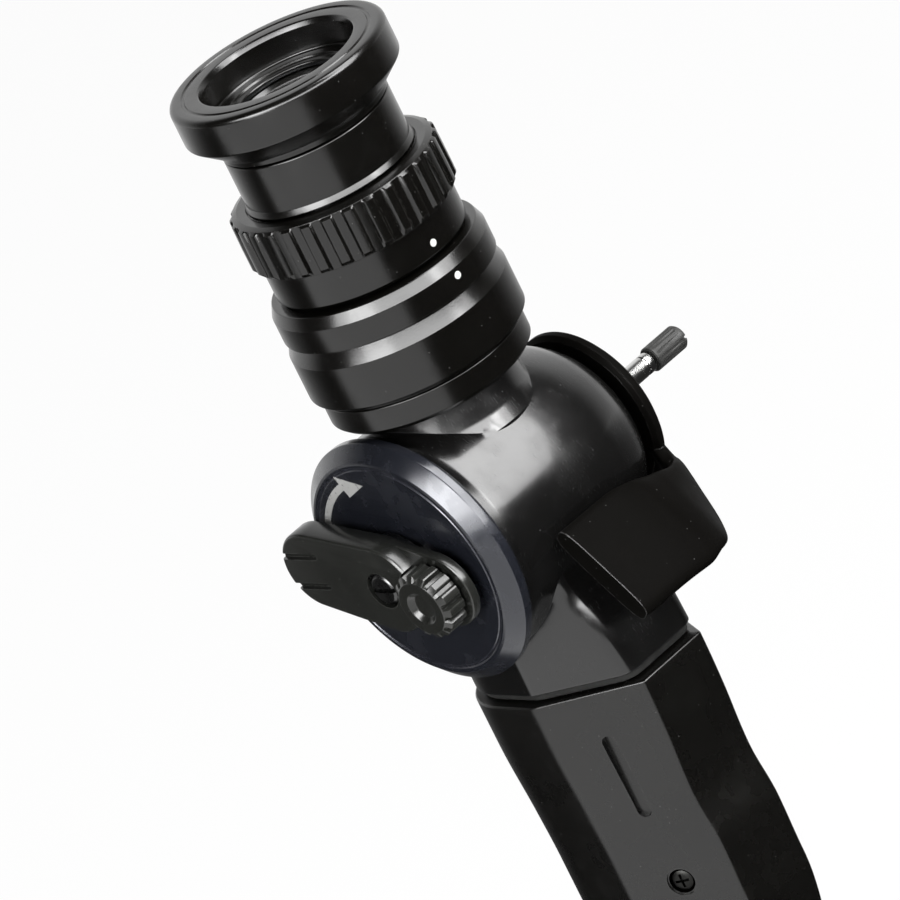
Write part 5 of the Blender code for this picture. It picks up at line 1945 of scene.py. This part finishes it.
@dataclass
class Studio:
    """Pale floor, soft light and the camera at the photograph's angle, in millimetres."""

    floor: float = -124.2
    floor_size: float = 4000.0
    aim: Triple = (0.11, 3.8, 8.3)
    distance: float = 1500.0
    lens: float = 420.0
    right: Triple = (0.82, -0.572, 0.0)
    back: Triple = (-0.534, -0.765, 0.36)
    roll: Pair = (0.895, 0.446)
    lamp_reach: float = 620.0
    left_power: float = 2.6
    above_power: float = 8.4
    world_strength: float = 0.045
    band_glow: float = 11.0
    card_glow: float = 1.42
    floor_reflection_glow: float = 0.025
    white_share: float = 0.95
    card_sides: Pair = (3.0, -84.0)
    strip_sides: Pair = (24.0, -34.0)
    strip_heights: Pair = (0.22, 0.58)
    strip_blur: float = 0.1
    left_panel: Pair = (300.0, 360.0)
    above_panel: Pair = (800.0, 300.0)

    def build(self) -> None:
        """Lay the floor, light the scene and place the camera."""
        self.lay_floor()
        self.light()
        self.world()
        self.camera()
        bpy.context.scene.view_settings.view_transform = "Standard"

    def lay_floor(self) -> None:
        """Pale floor that shows white to the camera and keeps the object's shadow; in reflections it
        glows, brightly on a wedge towards the camera and its left and dimly elsewhere, though it is no
        lamp.
        """
        half = self.floor_size / 2
        mesh = bpy.data.meshes.new("studio_floor")
        corners = [(-half, -half), (half, -half), (half, half), (-half, half)]
        mesh.from_pydata([(x * MM, y * MM, self.floor * MM) for x, y in corners], [], [(0, 1, 2, 3)])
        item = bpy.data.objects.new("studio_floor", mesh)
        bpy.context.scene.collection.objects.link(item)
        graph = Graph("pale_floor")
        paper = graph.node("ShaderNodeBsdfDiffuse", None, {"Color": (0.9, 0.9, 0.9)})
        path = graph.node("ShaderNodeLightPath")
        seen = self.seen(graph, path)
        gloss = graph.value(path, "Is Glossy Ray")
        x, y, _ = graph.parts(graph.place())
        sides = [(x * a + y * b).above(0.0, 0.02) for a, b in self.bearings(*self.card_sides)]
        white, card, dim = (
            graph.glow(strength) for strength in (1.0, self.card_glow, self.floor_reflection_glow)
        )
        paper_seen = graph.over(seen * self.white_share, paper.outputs[0], white)
        # Painted light: seen in reflections, the floor glows as a bright card and a dim surround,
        # though it is no lamp.
        mirrored = graph.over(sides[0] * sides[1], dim, card)
        last = graph.over(gloss * (1.0 - seen), paper_seen, mirrored)
        graph.node("ShaderNodeOutputMaterial", None, {"Surface": last})
        dress(item, graph.material)

    def bearings(self, *turns: float) -> list[Pair]:
        """Level directions at angles round the object.

        Args:
            turns: the angles in degrees, to the right of the camera.

        Returns:
            A level unit vector for each.
        """
        right, _, back = self.axes()
        level = Vector((back.x, back.y, 0.0)).normalized()
        ways = []
        for degrees in turns:
            turn = math.radians(degrees)
            way = level * math.cos(turn) + right * math.sin(turn)
            ways.append((way.x, way.y))
        return ways

    def seen(self, graph: Graph, path: bpy.types.Node) -> Flow:
        """Mask of the rays that see the white background.

        Args:
            graph: the graph that it is for.
            path: its Light Path node.

        Returns:
            1 for camera and glass rays, and for gloss that looks to the back of the studio.
        """
        camera, gloss, glass = (
            graph.value(path, f"Is {ray} Ray") for ray in ("Camera", "Glossy", "Transmission")
        )
        place = graph.node("ShaderNodeNewGeometry")
        ahead = graph.node(
            "ShaderNodeVectorMath",
            {"operation": "DOT_PRODUCT"},
            {0: place.outputs["Position"], 1: tuple(self.axes()[2])},
        )
        behind = 1.0 - graph.value(ahead, "Value").above(-0.35, 0.5)
        return camera.largest(glass, gloss * behind)

    def axes(self) -> tuple[Vector, Vector, Vector]:
        """Find the view's axes before the camera is rolled.

        Returns:
            Its right, up and back.
        """
        back = Vector(self.back).normalized()
        right = Vector(self.right).normalized()
        return right, back.cross(right), back

    def lamp(
        self, name: str, towards: Triple, size: Pair, power: float, level: Triple = (0.0, 0.0, 1.0)
    ) -> None:
        """Hang one soft panel light.

        Args:
            name: the lamp's name.
            towards: its direction from the object, along the view's right, up and back.
            size: its width and height.
            power: its power in watts.
            level: the axis that its width lies square to.
        """
        right, up, back = self.axes()
        way = (right * towards[0] + up * towards[1] + back * towards[2]).normalized()
        data = bpy.data.lights.new(name, "AREA")
        data.shape = "RECTANGLE"
        data.size, data.size_y = size[0] * MM, size[1] * MM
        data.energy = power
        across = Vector(level).cross(way).normalized()
        rows = [
            (across[i], way.cross(across)[i], way[i], way[i] * self.lamp_reach * MM) for i in range(3)
        ]
        item = bpy.data.objects.new(name, data)
        item.matrix_world = Matrix((*rows, (0, 0, 0, 1)))
        bpy.context.scene.collection.objects.link(item)

    def light(self) -> None:
        """Softbox at the camera's left and a long one over the drum."""
        self.lamp("softbox_left", (-0.55, 0.05, 0.83), self.left_panel, self.left_power)
        self.lamp(
            "softbox_above", (0.66, 0.57, 0.48), self.above_panel, self.above_power, (1.0, 0.0, 0.0)
        )

    def world(self) -> None:
        """White surroundings for what sees them, a strip light for the gloss and a dim even light."""
        world = bpy.data.worlds.new("studio_world")
        bpy.context.scene.world = world
        graph = Graph("studio_world", world)
        strengths = (self.world_strength, 1.0, self.band_glow)
        dim, white, strip = (graph.glow(strength, "ShaderNodeBackground") for strength in strengths)
        path = graph.node("ShaderNodeLightPath")
        gloss = graph.value(path, "Is Glossy Ray")
        place = graph.node("ShaderNodeNewGeometry")
        x, y, z = graph.parts(Flow(graph, place.outputs["Position"], Kind.VECTOR))
        sides = [(x * a + y * b).above(0.0, 0.12) for a, b in self.bearings(*self.strip_sides)]
        low, high = (z.above(height, self.strip_blur) for height in self.strip_heights)
        band = gloss * sides[0] * sides[1] * low * (1.0 - high)
        mix = graph.over(self.seen(graph, path), graph.over(band, dim, strip), white)
        graph.node("ShaderNodeOutputWorld", None, {"Surface": mix})

    def camera(self) -> None:
        """Camera at the photograph's angle."""
        right, up, back = self.axes()
        cos, sin = self.roll
        across = right * cos - up * sin
        upward = right * sin + up * cos
        place = (Vector(self.aim) + back * self.distance) * MM
        rows = [(across[i], upward[i], back[i], place[i]) for i in range(3)]
        data = bpy.data.cameras.new("studio_camera")
        data.sensor_width = 36.0
        data.lens = self.lens
        data.clip_start, data.clip_end = 0.01, 20.0
        item = bpy.data.objects.new("studio_camera", data)
        item.matrix_world = Matrix((*rows, (0, 0, 0, 1)))
        bpy.context.scene.collection.objects.link(item)
        bpy.context.scene.camera = item


def main() -> None:
    """Build the control section from the eyepiece down, and then the studio."""
    logging.basicConfig(level=logging.INFO, format="%(name)s %(message)s", stream=sys.stdout)
    for assembly in (Eyepiece(), Head(), SideControls(), ThumbSide(), Grip(), Studio()):
        LOG.info("building %s", type(assembly).__name__)
        assembly.build()


if __name__ == "__main__":
    main()
